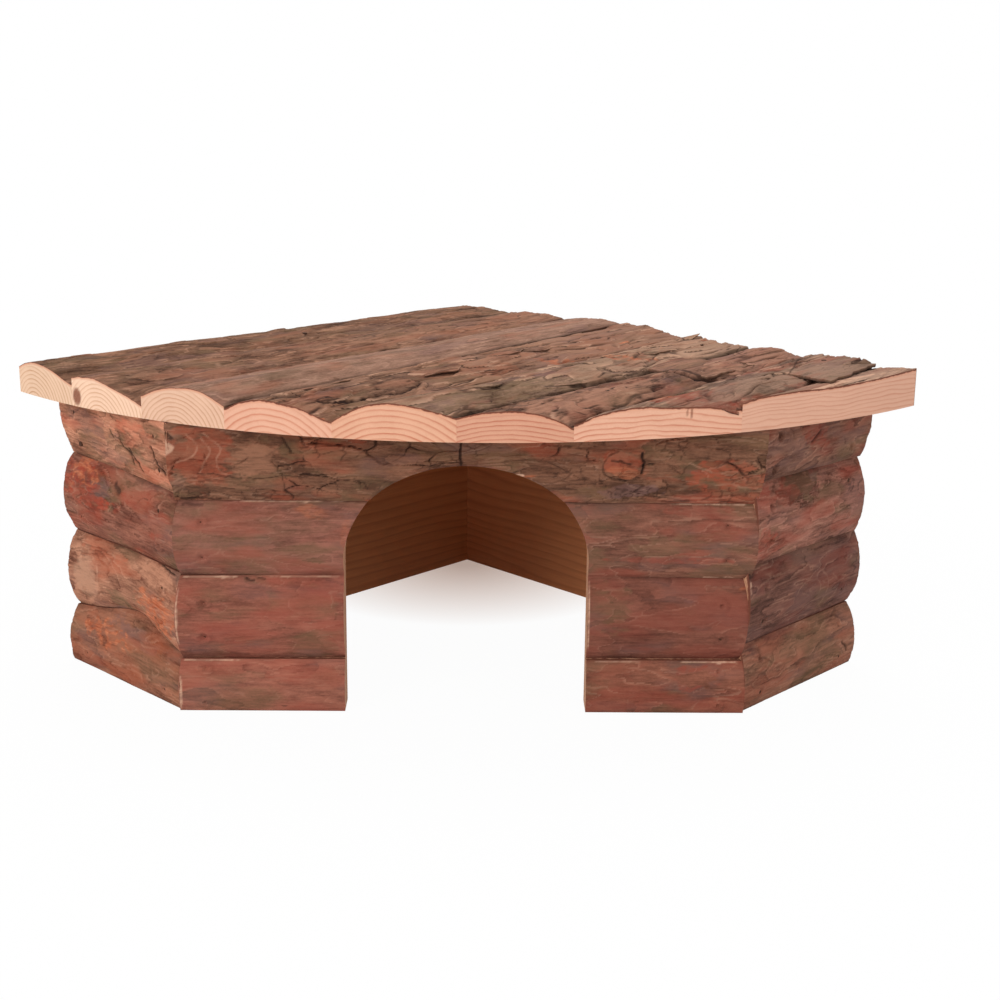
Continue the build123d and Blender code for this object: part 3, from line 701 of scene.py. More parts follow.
# Loose plates of bark: four corners (distance from the back edge, distance across the roof, lift
# over the bark below), the first, fourth and third on the free side, and a thickness; gap is the
# width of the painted shadow along the free side, tone a lighter share
flakes = [
    dict(slat=5, corners=((194, 185, 0.1), (179, 170, -0.7), (128, 176, -0.5), (162, 195, 1.5)), thick=0.8),
    dict(slat=4, corners=((165, 150, 0), (151, 136, -0.6), (126, 139, -0.5), (147, 153, 1.4)), thick=0.7),
    dict(slat=4, corners=((131, 140, -0.3), (105, 132, -0.6), (76, 132, -0.4), (100, 147, 1.4)), thick=0.7),
    dict(slat=4, corners=((97, 142, -0.2), (82, 135, -0.6), (62, 142, -0.5), (84, 151, 1.2)), thick=0.6),
    dict(slat=4, corners=((228, 139, -0.2), (205, 128, -0.5), (172, 129, -0.4), (201, 140, 1.1)), thick=0.6),
    dict(slat=5, corners=((140, 202, 0), (127, 193, -0.6), (101, 200, -0.5), (120, 208.5, 1.2)), thick=0.7),
    dict(slat=5, corners=((68, 172, -0.2), (50, 171, -0.6), (30, 188, -0.5), (53, 194, 1.2)), thick=0.7),
    dict(slat=6, corners=((78, 210, 1.6), (46, 198, -0.5), (30, 236, 0), (72, 241, 2.6)), thick=1.4, gap=2,
         tone=0.25),
    dict(slat=2, corners=((68, 66, -0.1), (58, 57, -0.6), (30, 62, -0.5), (46, 71, 1.1)), thick=0.5),
    dict(slat=5, corners=((14, 172, -0.4), (4, 170, 0), (0.8, 179, 2.4), (8, 180, 0.8)), thick=0.5),
    dict(slat=7, corners=((7, 246, 0.2), (0.6, 284, 2.3), (52, 293, 1.5), (46, 267, 0.3)), thick=1.3, gap=0.7,
         tone=0.55),
    dict(slat=7, corners=((107, 277.6, 0.4), (110.5, 278.2, 0.2), (104, 281.9, -1.4), (101.5, 281.6, 0.4)),
         thick=0.8),
    dict(slat=7, corners=((99.5, 277.5, 0.3), (102.5, 278.4, 0.2), (100.6, 282, 0.6), (98.6, 281.9, 1.4)), thick=0.7,
         gap=0.5)]


def makeFlake(number, spec):
    # a and b run between the corners, c from the underside to the top; the middle bulges a little
    corners = np.array(spec["corners"], float)
    long = np.hypot(*(corners[3] - corners[0])[:2]) + np.hypot(*(corners[2] - corners[1])[:2])
    wide = np.hypot(*(corners[1] - corners[0])[:2]) + np.hypot(*(corners[2] - corners[3])[:2])
    counts = int(wide / 2 / roof["flakeStep"]) + 2, int(long / 2 / roof["flakeStep"]) + 2, 3
    (a, b, c), sheets = blockSkin(*[np.linspace(0, 1, count) for count in counts])
    seed = roof["flakeSeed"] + 7 * number
    shares = (1 - a) * (1 - b), a * (1 - b), a * b, (1 - a) * b
    s = sum(share * corner[0] for share, corner in zip(shares, corners))
    q = sum(share * corner[1] for share, corner in zip(shares, corners))
    inner = 16 * a * (1 - a) * b * (1 - b)
    s = np.maximum(s + 0.9 * drifts(s / 7, q / 7, seed, 3), 0.3)
    q = q + 0.9 * drifts(s / 7, q / 7, seed + 4, 3)
    grounds = []
    for cornerS, cornerQ, lift in corners:
        under = min(int(np.searchsorted(roof["edges"], cornerQ)), 8) - 1
        level, below = slatTop(under, np.array([cornerQ]), np.array([-cornerS]))
        grounds.append(level[0] - below["rise"][0] * 0.9 + lift)
    height = sum(share * ground for share, ground in zip(shares, grounds)) + 0.9 * inner
    height = height + 0.25 * drifts(s / 14, q / 6, seed + 3, 3)
    slat = slats[spec["slat"] - 1]
    cover = barkCover(s, q, dict(slat["look"], rough=0.15, crack=0.15, raw=-2, marks=()))
    points = toRoot((q, -s, height + (c - 1) * spec["thick"]), roofFrame)
    rim = np.minimum(np.minimum(a, 1 - a) * wide / 2, np.minimum(b, 1 - b) * long / 2)
    lipWide = 0.9
    free = np.maximum(1 - a * wide / 2 / lipWide, 1 - (1 - b) * long / 2 / lipWide)
    cover["pale"] = np.clip(0.5 * free * c * step(-0.4, 0.2, drifts(s / 8, q / 8, seed + 5, 2)), 0, 1)
    cover["tone"] = cover["tone"] + 0.12 * inner + spec.get("tone", 0.0)
    # Painted shade on the underside: darker towards it in the crack colour, and by the shade share
    cover["crack"] = np.maximum(cover["crack"] * 0.5, 0.6 * (1 - c)) * step(-1, 0.5, rim + 1)
    attributes = coverAttributes(cover, (1 - c) * 0.6, [q, -s, height], 5 * (1 - c), 0 * c)
    makePiece(f"barkFlake{number + 1}", points, [sheets], slat["finishes"][:1], attributes, None)


for number in range(len(slats)):
    makeSlat(number)
for number, flake in enumerate(flakes):
    makeFlake(number, flake)
print("roof slats made")


# Logs of the walls. relief: how far the bark may stand out; edge: width over which it calms down at the joints;
# bradPit, bradRim, bradSwell: distances from a brad between which the bark is pressed in and closes over its head.
# The joints between the courses are lines of (distance along, height)

walls = dict(front=257.8, side=90.5, alongStep=0.6, upStep=0.55, levels=8, pith=20.0, relief=(-1.6, 1.3), edge=2.2,
             bradPit=(1.0, 3.2), bradRim=(0.55, 1.25), bradSwell=(1.4, 4.5), swell=0.95,
             wood=((206, 158, 124), (160, 104, 76)))
doorway = dict(middle=130.1, half=55.0, spring=71.0, rise=46.0)
ground, top = ((0, 0), (300, 0)), ((0, house["wallTop"]), (300, house["wallTop"]))
frontLines = [ground, ((0, 24.3), (257.8, 24.6)), ((0, 63.9), (257.8, 63.9)), ((0, 99.2), (257.8, 99.2)), top]
leftLines = [ground, ((0, 27.5), (25, 31.5), (45, 36.5), (57, 37), (72, 30.5), (90.5, 25)),
             ((0, 65.4), (45, 66.2), (90.5, 64.6)), ((0, 104), (45, 103.5), (90.5, 101)), top]
rightLines = [ground, ((0, 30.7), (90.5, 30.8)), ((0, 70), (45, 69.4), (90.5, 68.2)), ((0, 108.5), (90.5, 105.5)), top]


def lineHeight(x, points):
    xs, zs = zip(*points)
    return sum(np.interp(x + d, xs, zs) for d in (-5, -2.5, 0, 2.5, 5)) / 5


def jambPlace(z):
    # Distance of the doorway's edge from its middle: upright to the spring, then an oval arch
    up = np.clip((z - doorway["spring"]) / doorway["rise"], 0, 1)
    return doorway["half"] * np.sqrt(1 - up ** 2)


def archHeight(x):
    side = np.clip((x - doorway["middle"]) / doorway["half"], -1, 1)
    return doorway["spring"] + doorway["rise"] * np.sqrt(1 - side ** 2)


def logBark(z, low, high, crown, recess):
    # Depth of the round bark behind the wall's plane: a circle through the fullest line that falls
    # back by the recess at the farther joint
    reach = np.maximum(high - crown, crown - low)
    radius = (reach ** 2 + recess ** 2) / (2 * recess)
    return radius - np.sqrt(np.maximum(radius ** 2 - (z - crown) ** 2, 1))


def makeLog(spec):
    # a runs along the wall, b up, c from the flat inside to the bark
    start, end = spec["span"]
    low, high = spec["joints"]
    rows = int(round((high[0][1] - low[0][1]) / walls["upStep"]))
    columns = int(round((end - start) / walls["alongStep"]))
    (a, b, c), sheets = blockSkin(*[np.linspace(0, 1, count) for count in (columns + 1, rows + 1, walls["levels"])])
    x = start + a * (end - start)
    seed = spec["look"]["seed"]
    zLow, zHigh = lineHeight(x, low), lineHeight(x, high)
    if low is not ground:
        zLow = zLow + 0.3 * drift(x / 14, x * 0, seed + 90)
    if spec.get("arch"):
        zLow = np.maximum(zLow, np.where(np.abs(x - doorway["middle"]) < doorway["half"], archHeight(x), 0))
    z = zLow + b * (zHigh - zLow)
    if spec["ends"][0] == "jamb":
        x = x + (doorway["middle"] + jambPlace(z) - start) * (1 - a)
    if spec["ends"][1] == "jamb":
        x = x + (doorway["middle"] - jambPlace(z) - end) * a
    edgeLow, edgeHigh = lineHeight(x, low), lineHeight(x, high)
    crown = edgeLow + spec.get("crown", 0.5) * (edgeHigh - edgeLow)
    depth = logBark(z, edgeLow, edgeHigh, crown, spec.get("recess", house["recess"]))
    cover = barkCover(x, z, spec["look"])
    rim = step(0, walls["edge"], np.minimum(z - zLow, zHigh - z))
    stand = np.interp(x, spec["span"], spec.get("stand", (0, 0)))
    # The bark is pressed in round each brad, and closes over its head's rim
    level, closing = np.ones(a.shape), np.zeros(a.shape)
    for bradX in spec.get("bradsAlong", ()):
        for bradZ in spec["bradsUp"]:
            near = np.hypot(x - bradX, z - bradZ)
            level = np.minimum(level, step(*walls["bradPit"], near))
            closing = closing + step(*walls["bradRim"], near) * (1 - step(*walls["bradSwell"], near))
    rise = np.clip(cover["rise"], *walls["relief"]) * (0.3 + 0.7 * rim)
    bark = depth - (stand + rise) * level - walls["swell"] * closing
    y = house["logDepth"] + c * (bark - house["logDepth"])
    for at, side in ((0, 1), (1, -1)):
        if spec["ends"][at] == "mitre":
            near = np.clip(1 - np.abs(x - spec["span"][at]) / house["mitreReach"], 0, 1)
            x = x + side * near * (y * house["mitre"]) + near * spec.get("stretch", (0, 0))[at]
    # Painted shade in patches along the joints between the courses
    shade = (1 - rim) * 0.55 * step(0.2, 0.9, 0.5 + 0.6 * drift(x / 18, z / 9, seed + 91))
    attributes = coverAttributes(cover, shade, [z - crown, x, walls["pith"] - y], np.maximum(y - bark, 0), 0 * c)
    finishes = [barkFinish(spec["name"] + "Bark", *spec["bark"]), wallSawn, jambSawn]
    # Sides of the block: 0 is the bark, 2 and 3 are the two ends
    jambs = [2 + at for at in (0, 1) if spec["ends"][at] == "jamb"]
    groups = [[0], [at for at in range(1, 6) if at not in jambs], jambs]
    makePiece(spec["name"], toRoot((x, y, z), spec["frame"]), [[sheets[at] for at in group] for group in groups],
              finishes, attributes, spec["node"])


wallSawn = sawnFinish("wallSawnWood", *walls["wood"], (150, 88, 64), 2.4, 3.6, 2.8, (116, 68, 52))
jambSawn = sawnFinish("jambSawnWood", *walls["wood"], (206, 150, 120), 2.4, 1.6, 0.1)

# Marks on the walls have their distance along the wall first, then their height
calmLook = dict(rough=0.14, crack=0.06, split=0.2, raw=-0.7, layers=2, plateTone=0.6, chips=-0.5, plateRise=0.4,
                lip=0.1, lipWide=0.7, under=0.1, curl=0.1, layerRise=0.12, lipToneAndShade=0.22, gap=0.06, fine=0.21)
flakyLook = dict(rough=0.4, crack=0.12, split=0.3, raw=-0.6, layers=2.6, plateTone=0.8, chips=-0.1, plateRise=0.7,
                 lip=0.16, lipWide=0.8, under=0.3, curl=0.3, layerRise=0.22, lipToneAndShade=0.35, gap=0.06)
lintel = dict(
    name="lintelLog", node="front_lintel_log", frame=frontFrame, span=(0, walls["front"]), arch=True,
    joints=frontLines[3:], crown=0.76, ends=("mitre", "mitre"), stretch=(-1, 3.5), stand=(1.5, 2),
    bark=((84, 55, 41), (146, 101, 78), (156, 74, 52)),
    look=dict(seed=201, rough=0.8, crack=0.85, split=0.25, raw=-0.5, stain=0.2, layers=2.4, plate=(17, 7), chips=0.35,
              lip=0.16, under=0.3, curl=0.6, layerRise=0.35, gap=0.05, lipToneAndShade=0.2, marks=[
        plainAt(12, 120, 19, 16), redAt(12, 120, 20, 15, speckle=0.2, strength=0.8),
        strokeAlong((-0.7, 113), (3.7, 117.8), (9.2, 119.2), (13.3, 122.7), (12.8, 127), (8.8, 130.4)),
        strokeAlong((15.9, 130.9), (20, 127.9), (22.8, 125.3), (23, 122.7), (20.5, 119.2), (21.2, 115.8),
            (22.4, 112.3), (27.8, 111.9), (34.5, 111.5)),
        strokeAlong((13.6, 113.1), (16.3, 119.2), (18.5, 121.8), (18.2, 125.3), (15, 128.7)),
        strokeAlong((-0.6, 106.4), (3.3, 109.5), (7.6, 110.9), (11.8, 111.3)),
        strokeAlong((-0.7, 104.7), (4.1, 108.2), (8.8, 109.6), (11.7, 109.4)),
        strokeAlong((-0.3, 102.9), (4.9, 106.5), (10.8, 107.8)),
        crackAlong((12.3, 112.4), (18.6, 112.4), (26.1, 110.8), (34.5, 110.6), (40.4, 110), (48.9, 112),
            (58.1, 111.2), (66.6, 112.4), (72.9, 113), wide=0.5, deep=0.5, strength=0.7),
        crackAlong((48.9, 112.5), (49.6, 107.2), (50.8, 102.8), wide=0.5, deep=0.5, strength=0.6),
        crackAlong((80, 109.2), (85, 108.3), (86.3, 105.3), wide=0.5, strength=0.6),
        crackAlong((71.5, 108.3), (73.6, 106.5), (72.3, 102.6), wide=0.5, strength=0.6),
        crackAlong((49.3, 129), (51.7, 125.5), (53.3, 122.9), wide=0.8, strength=0.8),
        paleAt(-0.6, 124.4, 5, 5, torn=0.15, power=1, speckle=0.1, strength=0.8), plainAt(37, 119, 12, 9),
        toneAt(37, 119, 12, 9, by=0.45), liftAt(37, 119, 12, 9, rise=0.7), stainAt(62, 124, 15, 5),
        crackAlong((127.7, 127), (127.2, 122), (127.8, 117), wide=0.9), paleAt(154, 112.8, 2.2, 0.9),
        plainAt(198.5, 117.5, 11, 8), liftAt(198.5, 117.5, 9.5, 7, rise=1),
        rawAt(199, 114.8, 8, 3.4, strength=0.45, speckle=0.3), redAt(198, 119.5, 9, 5, speckle=0.2),
        crackAlong((194, 120.4), (198, 119.8), (202, 118.6), wide=0.9, deep=0.3, strength=0.8),
        toneAt(198, 121.6, 9, 2.4, by=0.5),
        crackAlong((197, 125), (190.6, 121.2), (189.8, 114), (195, 111),
            (201, 110.6), wide=0.55, strength=0.6, round=True),
        crackAlong((207, 123), (208, 119), (207, 114), wide=1.1), mauveAt(203, 105.5, 15, 3.6),
        toneAt(203, 105.5, 15, 3.6, by=-0.4), plainAt(217, 117, 9, 5), toneAt(217, 117, 9, 5, by=0.25),
        toneAt(244, 116, 28, 22, by=-0.16), redAt(245, 113, 16, 8, strength=0.85),
        strokeAlong((228, 119), (236, 115), (246, 113.5), (252, 110.5), (251, 106)),
        strokeAlong((230, 110), (238, 108.6), (246, 109.4), strength=0.7),
        crackAlong((238, 130), (238.5, 127.5), wide=0.5),
        crackAlong((238, 126.5), (243, 124.5), (244, 121), wide=0.4, strength=0.6),
        crackAlong((3, 99.8), (12, 100.2), (21, 99.9), wide=1, strength=0.8),
        crackAlong((217, 100), (229, 100.4), wide=0.8, strength=0.6),
        crackAlong((242, 100.2), (252, 100), wide=0.8, strength=0.6)]))
frontLeftCourses = {
    3: dict(
        stand=(1, 0), bradsUp=(73.6, 89.6), bark=((98, 62, 50), (154, 100, 84), (150, 78, 62)),
        look=dict(calmLook, seed=202, stain=-0.05, marks=[
            stainAt(22, 76, 26, 11, strength=0.7), stainAt(30, 88, 40, 8, strength=0.35),
            rawAt(62, 95, 8, 3.4, strength=0.35), paleAt(52, 98.6, 24, 0.45),
            crackAlong((3, 97.6), (12, 97.2), wide=1, strength=0.5), rawAt(77, 84, 3, 6, strength=0.3)])),
    2: dict(
        stand=(2, 0), bradsUp=(36, 52), bark=((102, 60, 48), (160, 98, 80), (150, 72, 58)),
        look=dict(calmLook, seed=203, stain=-0.1, red=0.1, marks=[
            paleAt(15, 63.3, 14, 0.5), paleAt(58, 63.3, 17, 0.4, strength=0.7), stainAt(35, 62, 6, 1.6),
            crackAlong((31, 62.6), (35, 61.9), wide=0.7, strength=0.8),
            crackAlong((36.5, 62.6), (39.5, 62.1), wide=0.7, strength=0.7), stainAt(58, 52, 16, 8, strength=0.8),
            paleAt(0.8, 46, 0.45, 16, torn=0.1), toneAt(14, 26.5, 20, 3, by=-0.3)])),
    1: dict(
        crown=0.33, recess=3.2, stretch=(-0.6, 0), bradsUp=(4.1, 20.1),
        bark=((110, 66, 54), (170, 108, 88), (158, 80, 64)),
        look=dict(calmLook, seed=204, marks=[
            paleAt(14, 23.8, 15, 0.45), paleAt(0.8, 9, 0.6, 9, torn=0.15), stainAt(10, 12, 12, 8, strength=0.5),
            redAt(60, 18, 22, 5, strength=0.6)]))}
frontRightCourses = {
    3: dict(
        stretch=(0, 2), stand=(0, 1.5), bradsUp=(73.6, 89.6), bark=((90, 57, 45), (146, 96, 78), (144, 70, 56)),
        look=dict(calmLook, layers=2.6, lip=0.16, seed=205, marks=[
            stainAt(228, 80, 26, 8, strength=0.7), redAt(222, 73.5, 28, 2, strength=0.9),
            redAt(236, 96, 16, 3, strength=0.7), paleAt(238, 98.8, 21, 0.4), paleAt(243, 64.6, 13, 0.5),
            strokeAlong((203, 81.7), (208.1, 76.9), (211.3, 77.9), strength=0.4),
            strokeAlong((219.7, 97.3), (226, 98), (230.6, 96.1), (229.9, 93.3), strength=0.4),
            strokeAlong((215.5, 87.5), (220.9, 90.4), (228.1, 90.9), strength=0.4),
            strokeAlong((187.5, 81.6), (199.3, 82.6), (207.4, 85.5), (208.2, 87.4), strength=0.4)])),
    2: dict(
        bradsUp=(36, 52), bark=((90, 53, 42), (140, 86, 70), (130, 64, 51)),
        look=dict(calmLook, layers=1.6, lipToneAndShade=0.12, seed=206, red=0.2, stain=-0.2, marks=[
            stainAt(194, 50, 11, 12, strength=0.9), mauveAt(231, 55, 5, 3), paleAt(185.9, 45, 0.4, 20, torn=0.1)])),
    1: dict(
        crown=0.33, recess=3.2, bradsUp=(4.1, 20.1), bark=((93, 56, 43), (154, 96, 76), (140, 66, 52)),
        look=dict(calmLook, layers=2.6, lip=0.16, seed=207, marks=[
            paleAt(243, 23.9, 13, 0.45), paleAt(199, 23.9, 12, 0.35, strength=0.6), redAt(236, 17, 11, 5.5),
            plainAt(236, 17, 10, 5), redAt(196, 17, 10, 7, strength=0.5)]))}
leftSideCourses = {
    1: dict(
        crown=0.36, recess=5.5, stand=(1, 0), bradsUp=(7, 23), bark=((98, 58, 42), (172, 114, 88), (164, 84, 56)),
        look=dict(flakyLook, seed=301, stain=0.1, marks=[
            rawAt(33, 21, 21, 6, turn=-4, veins=True, strength=0.9), redAt(36, 17, 20, 7, turn=-10, strength=0.5),
            mauveAt(52, 26, 22, 5, turn=-10)])),
    2: dict(
        crown=0.5, recess=6, stand=(0, 1.2), bradsUp=(39.7, 55.7),
        bark=((110, 66, 50), (190, 134, 106), (176, 92, 64)),
        look=dict(flakyLook, seed=302, stain=-0.1, red=0.1, marks=[
            plainAt(15, 46, 13, 13.5), toneAt(15, 46, 11, 12, by=0.3),
            paleAt(15, 46, 11, 12, torn=0.15, speckle=0.1, strength=0.25),
            stainAt(14, 45, 10, 11, torn=0.2, speckle=0.1, strength=0.55),
            strokeAlong((16.8, 58.6), (25.1, 55.6), (26.9, 48.1), (23.5, 39.3), (14.3, 33.9), wide=0.9),
            plainAt(73, 60, 13, 5), toneAt(73, 60, 13, 5, by=0.45), redAt(74, 42, 14, 11, strength=0.7),
            rawAt(74, 41, 15, 12, veins=True), strokeAlong((58, 46), (66, 40), (72, 33), strength=0.8),
            strokeAlong((64, 52), (74, 47), (84, 44), strength=0.7), stainAt(42, 40, 9, 8), redAt(30, 60, 18, 4),
            crackAlong((70, 66.5), (78, 64), (86, 63), wide=0.8), mauveAt(45, 33, 12, 4)])),
    3: dict(
        crown=0.5, recess=6.5, stand=(0, 0.6), bradsUp=(76.2, 92.2),
        bark=((90, 50, 38), (160, 102, 82), (158, 66, 46)),
        look=dict(flakyLook, under=0.45, seed=303, stain=0.05, mauve=0.1, marks=[
            redAt(14, 95, 16, 11), rawAt(14, 98, 14, 8, veins=True, strength=0.8), stainAt(34, 92, 20, 8, veins=True),
            crackAlong((42, 97), (46, 94.5), wide=2.2, strength=0.75, deep=0.4), stainAt(44, 95, 10, 6),
            mauveAt(30, 92, 11, 5), toneAt(28, 91, 26, 9, by=-0.6, speckle=0.9),
            toneAt(55, 97, 20, 6, by=0.5, speckle=0.9), redAt(25, 86, 24, 4),
            plainAt(60, 76, 30, 8, strength=0.7)])),
    4: dict(
        crown=0.96, recess=7, stand=(0, 1.5), bradsUp=(111.3, 127.3),
        bark=((122, 78, 58), (214, 148, 117), (186, 98, 72)),
        look=dict(flakyLook, under=0.4, seed=304, stain=0, marks=[
            stainAt(58, 112, 22, 9, turn=-25), mauveAt(25, 124, 24, 6, strength=0.6),
            crackAlong((51, 120), (53, 117), (57, 115), (57, 110), wide=0.9),
            crackAlong((57, 117), (59, 113), (62, 111), (63, 107), wide=1.1),
            crackAlong((44, 124), (46, 121), wide=0.8), crackAlong((76, 122), (78, 115), (84, 110), wide=0.9),
            redAt(60, 128, 18, 4, strength=0.8)]))}
rightSideCourses = {
    1: dict(
        crown=0.4, recess=6, bradsUp=(7.4, 23.4), bark=((96, 62, 48), (172, 118, 94), (154, 84, 64)),
        look=dict(flakyLook, crack=0.3, layerRise=0.15, lipToneAndShade=0.2, seed=401, stain=0.2, marks=[
            crackAlong((80, 14), (84, 9), wide=1.1, strength=0.7), redAt(20, 12, 14, 6, strength=0.6)])),
    2: dict(
        crown=0.55, recess=7, stand=(1, 0), bradsUp=(42, 58), bark=((70, 44, 37), (136, 92, 78), (120, 58, 46)),
        look=dict(flakyLook, under=0.4, seed=402, stain=-0.1, mauve=0.3, marks=[
            strokeAlong((36, 61.8), (44.2, 62.4), (53, 58.9), (60.3, 54.2), (64.4, 48.6), (63.2, 43.7), strength=0.6),
            strokeAlong((67.5, 52), (73.3, 46.5), (72.2, 40.5), (65.6, 36.9), strength=0.6),
            strokeAlong((34.2, 46.7), (40.1, 53.3), (50.1, 54), (57.3, 50.3), (56.3, 43.3), strength=0.6),
            strokeAlong((5.9, 58.6), (10.4, 61.4), (18.3, 61.5), (27.9, 61.7), strength=0.6),
            toneAt(8, 62, 12, 6, by=-0.3), paleAt(0.8, 60, 0.8, 3.5, torn=0.4, strength=0.7)])),
    3: dict(
        crown=0.45, recess=6, stretch=(2, 0), stand=(2, 0), bradsUp=(80.2, 96.2),
        bark=((92, 56, 44), (172, 116, 98), (154, 72, 56)),
        look=dict(flakyLook, under=0.45, seed=403, mauve=0.1, marks=[
            plainAt(34, 102, 20, 9), stainAt(38, 103, 15, 7, speckle=0.1, strength=0.45),
            toneAt(35, 101.5, 19, 8.5, by=-0.75), redAt(26, 99, 10, 5, strength=0.5),
            strokeAlong((39.1, 80.5), (50.5, 83.1), (63.9, 84.3), (79.7, 83.1), strength=0.6),
            strokeAlong((23.2, 77.1), (32.5, 80.9), (40.7, 81.2), strength=0.6), redAt(6, 80, 9, 7),
            liftAt(35, 101, 18, 8, rise=0.8)])),
    4: dict(
        crown=0.72, recess=5, stretch=(3.5, 0), stand=(3, 1.2), bradsUp=(113.4, 129.4),
        bark=((84, 54, 43), (148, 104, 85), (132, 58, 44)),
        look=dict(flakyLook, seed=404, mauve=0.25, stain=0.05, marks=[
            redAt(43, 124, 12, 6, turn=-20), crackAlong((40, 122), (46, 126), wide=1.2, strength=0.7)]))}


def makeWall(name, node, lines, courses, **shared):
    # The logs of one wall, or of the part of it beside the doorway, with what they share
    for course, spec in courses.items():
        made = dict(name=f"{name}{course}", node=f"{node}_{course}", joints=lines[course - 1:course + 1])
        makeLog(dict(made, **shared, **spec))


doorLeft, doorRight = doorway["middle"] - doorway["half"], doorway["middle"] + doorway["half"]
makeLog(lintel)
makeWall("frontLeftLog", "front_left_log", frontLines, frontLeftCourses, frame=frontFrame, span=(0, doorLeft),
         ends=("mitre", "jamb"), bradsAlong=(12,))
makeWall("frontRightLog", "front_right_log", frontLines, frontRightCourses, frame=frontFrame,
         span=(doorRight, walls["front"]), ends=("jamb", "mitre"), bradsAlong=(245.8,))
makeWall("leftSideLog", "left_side_log", leftLines, leftSideCourses, frame=leftFrame, span=(0, walls["side"]),
         ends=("sawn", "mitre"), bradsAlong=(13.5, 78.5))
makeWall("rightSideLog", "right_side_log", rightLines, rightSideCourses, frame=rightFrame, span=(0, walls["side"]),
         ends=("mitre", "sawn"), bradsAlong=(12, 77))
print("wall logs made")


# Boards, battens and brads keep their CAD shape

def finishNodes(nodes, finish):
    for node in nodes:
        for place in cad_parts[node].material_slots:
            place.material = finish


# Painted light: the right board has lighter colours than the left, for the lamp light falling on it through the doorway
for node, turn, pale, line in (
        ("left_back_board", -45, (206, 138, 88), (156, 91, 50)),
        ("right_back_board", 45, (228, 155, 104), (176, 105, 62)),
        ("left_corner_batten", 0, (214, 170, 126), (170, 118, 78)),
        ("right_corner_batten", 0, (214, 170, 126), (170, 118, 78))):
    finishNodes([node], boardFinish(node + "Pine", turn, pale, line))
steel = Finish("brad_dark_steel")
dull = steel.noise(steel.node("TexCoord").outputs["Object"], (900.0, 900.0, 900.0), 3.0)
tint = steel.ramp(dull, [(0.3, paint(52, 32, 24)), (0.7, paint(84, 56, 42))])
steelFinish = steel.surface(tint, steel.span(dull, 0.3, 0.7, 0.6, 0.85), dull, 0.0001, 0.3, 0.12)
finishNodes([place + "_brads" for place in ("front", "left_side", "right_side", "back_corner", "roof")], steelFinish)
print("boards, battens and brads finished")


# Floor, light and camera

# In metres from the inner back corner, or from the middle for the wide shade; then the two shares
floorLook = dict(half=4.0, height=-0.0003, corner=(0.0, 0.11, 0.0), behind=(0.114, 0.125),
                 cornerShade=(0.01, 0.11, 0.4, 0.97), wideShade=(0.2, 0.42, 0.0, 0.03),
                 bounceTintReach=(0.02, 0.14), bounceTint=(0.86, 0.76, 0.70, 1), plain=(0.86, 0.86, 0.86, 1),
                 bounceReach=(0.01, 0.11), bounced=(1.0, 0.81, 0.71, 1), white=(1, 1, 1, 1))


def makeFloor(look):
    # White floor: seen directly it is plain white away from the house, but it keeps the house's
    # shadow, faintly round the walls and darker towards the inner back corner
    half, height = look["half"], look["height"]
    mesh = bpy.data.meshes.new("floor")
    mesh.from_pydata([(-half, -half, height), (half, -half, height), (half, half, height), (-half, half, height)],
                     [], [(0, 1, 2, 3)])
    f = Finish("floorWhite")
    place = f.node("TexCoord").outputs["Object"]
    corner = f.node("VectorMath", {0: place, 1: look["corner"]}, operation="DISTANCE").outputs["Value"]
    middle = f.node("VectorMath", {0: place}, operation="LENGTH").outputs["Value"]
    parts = f.node("SeparateXYZ", {0: place}).outputs
    # Behind the back boards the floor has none of the painted bounce light, a warm tint, that it has between the walls
    outside = f.span(f.add(f.maths("ABSOLUTE", parts[0]), parts[1]), *look["behind"])
    soft = f.add(f.span(corner, *look["cornerShade"]), f.span(middle, *look["wideShade"]), True)
    bounceTint = f.mix(f.maths("MAXIMUM", f.span(corner, *look["bounceTintReach"]), outside), look["bounceTint"], look["plain"])
    bounced = f.mix(f.maths("MAXIMUM", f.span(corner, *look["bounceReach"]), outside), look["bounced"], look["white"])
    white = f.node("BsdfDiffuse", {"Color": bounceTint})
    bright = f.node("Emission", {"Color": bounced, "Strength": 1.0})
    made = f.node("MixShader", {0: f.times(f.seen(), soft), 1: white.outputs[0], 2: bright.outputs[0]})
    f.node("OutputMaterial", {"Surface": made.outputs[0]})
    mesh.materials.append(f.owner)
    floor = link("floor", mesh)


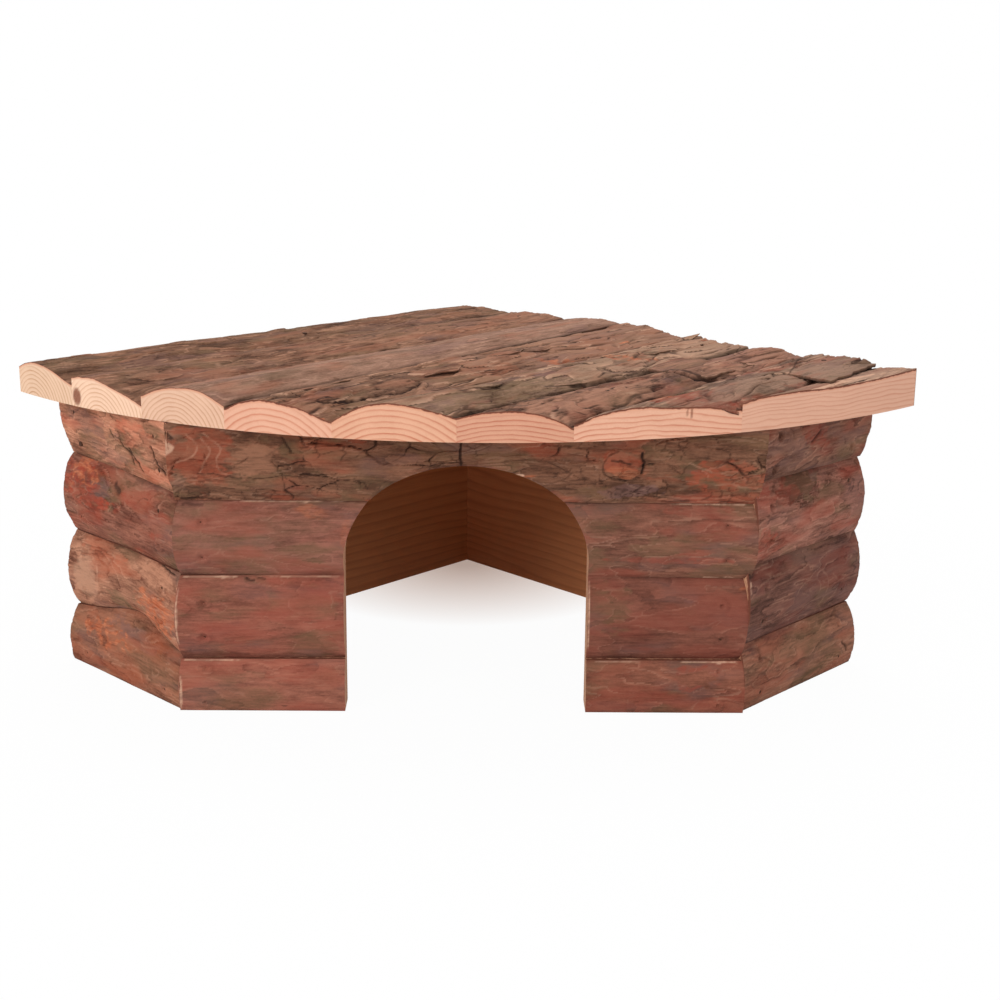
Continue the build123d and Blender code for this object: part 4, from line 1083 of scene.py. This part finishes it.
def makeWorld(strength):
    # White to look at, and a weaker white light on the house
    f = Finish("studio", "worlds")
    lit = f.node("Background", {"Color": (1, 1, 1, 1), "Strength": strength})
    plain = f.node("Background", {"Color": (1, 1, 1, 1), "Strength": 1.0})
    made = f.node("MixShader", {0: f.seen(), 1: lit.outputs[0], 2: plain.outputs[0]})
    f.node("OutputWorld", {"Surface": made.outputs[0]})
    bpy.context.scene.world = f.owner


def turned(side, up, back, place):
    # The matrix of a lamp or camera: three directions and a place as its columns
    matrix = np.eye(4)
    matrix[:3] = np.stack([side, up, back, place], -1)
    return Matrix(matrix.tolist())


def makeLamp(name, place, size, power, aim=(0.0, 0.0, 0.08)):
    lamp = bpy.data.lights.new(name, "AREA")
    lamp.shape, lamp.size, lamp.energy = "DISK", size, power
    back = np.array(place) - np.array(aim)
    back = back / np.linalg.norm(back)
    side = np.cross((0.0, 0.0, 1.0), back)
    side = side / np.linalg.norm(side)
    link(name, lamp).matrix_world = turned(side, np.cross(back, side), back, place)


view = dict(place=(0.0076, -0.81818, 0.30454), lens=59.69, down=15.12, turn=0.59, roll=-0.54,
            shift=(0.00384, -0.02809), sensor=36.0, near=0.01, far=50.0)


def makeCamera():
    down, turn, roll = (math.radians(view[key]) for key in ("down", "turn", "roll"))
    ahead = np.array([math.sin(turn) * math.cos(down), math.cos(turn) * math.cos(down), -math.sin(down)])
    level = np.array([math.cos(turn), -math.sin(turn), 0.0])
    below = np.cross(ahead, level)
    side = level * math.cos(roll) + below * math.sin(roll)
    under = below * math.cos(roll) - level * math.sin(roll)
    camera = bpy.data.cameras.new("camera")
    camera.lens, camera.sensor_width = view["lens"], view["sensor"]
    camera.shift_x, camera.shift_y = view["shift"]
    camera.clip_start, camera.clip_end = view["near"], view["far"]
    made = link("camera", camera)
    made.matrix_world = turned(side, -under, -ahead, view["place"])
    bpy.context.scene.camera = made


makeFloor(floorLook)
makeWorld(0.45)
makeLamp("keyLamp", (-1.45, -1.7, 1.0), 1.5, 28.0)
makeLamp("fillLamp", (1.5, -1.5, 0.9), 1.6, 10.0)
makeLamp("topLamp", (0.1, 0.5, 2.0), 1.6, 19.0)
makeCamera()
bpy.context.scene.view_settings.view_transform = "Standard"
print("floor, light and camera made")
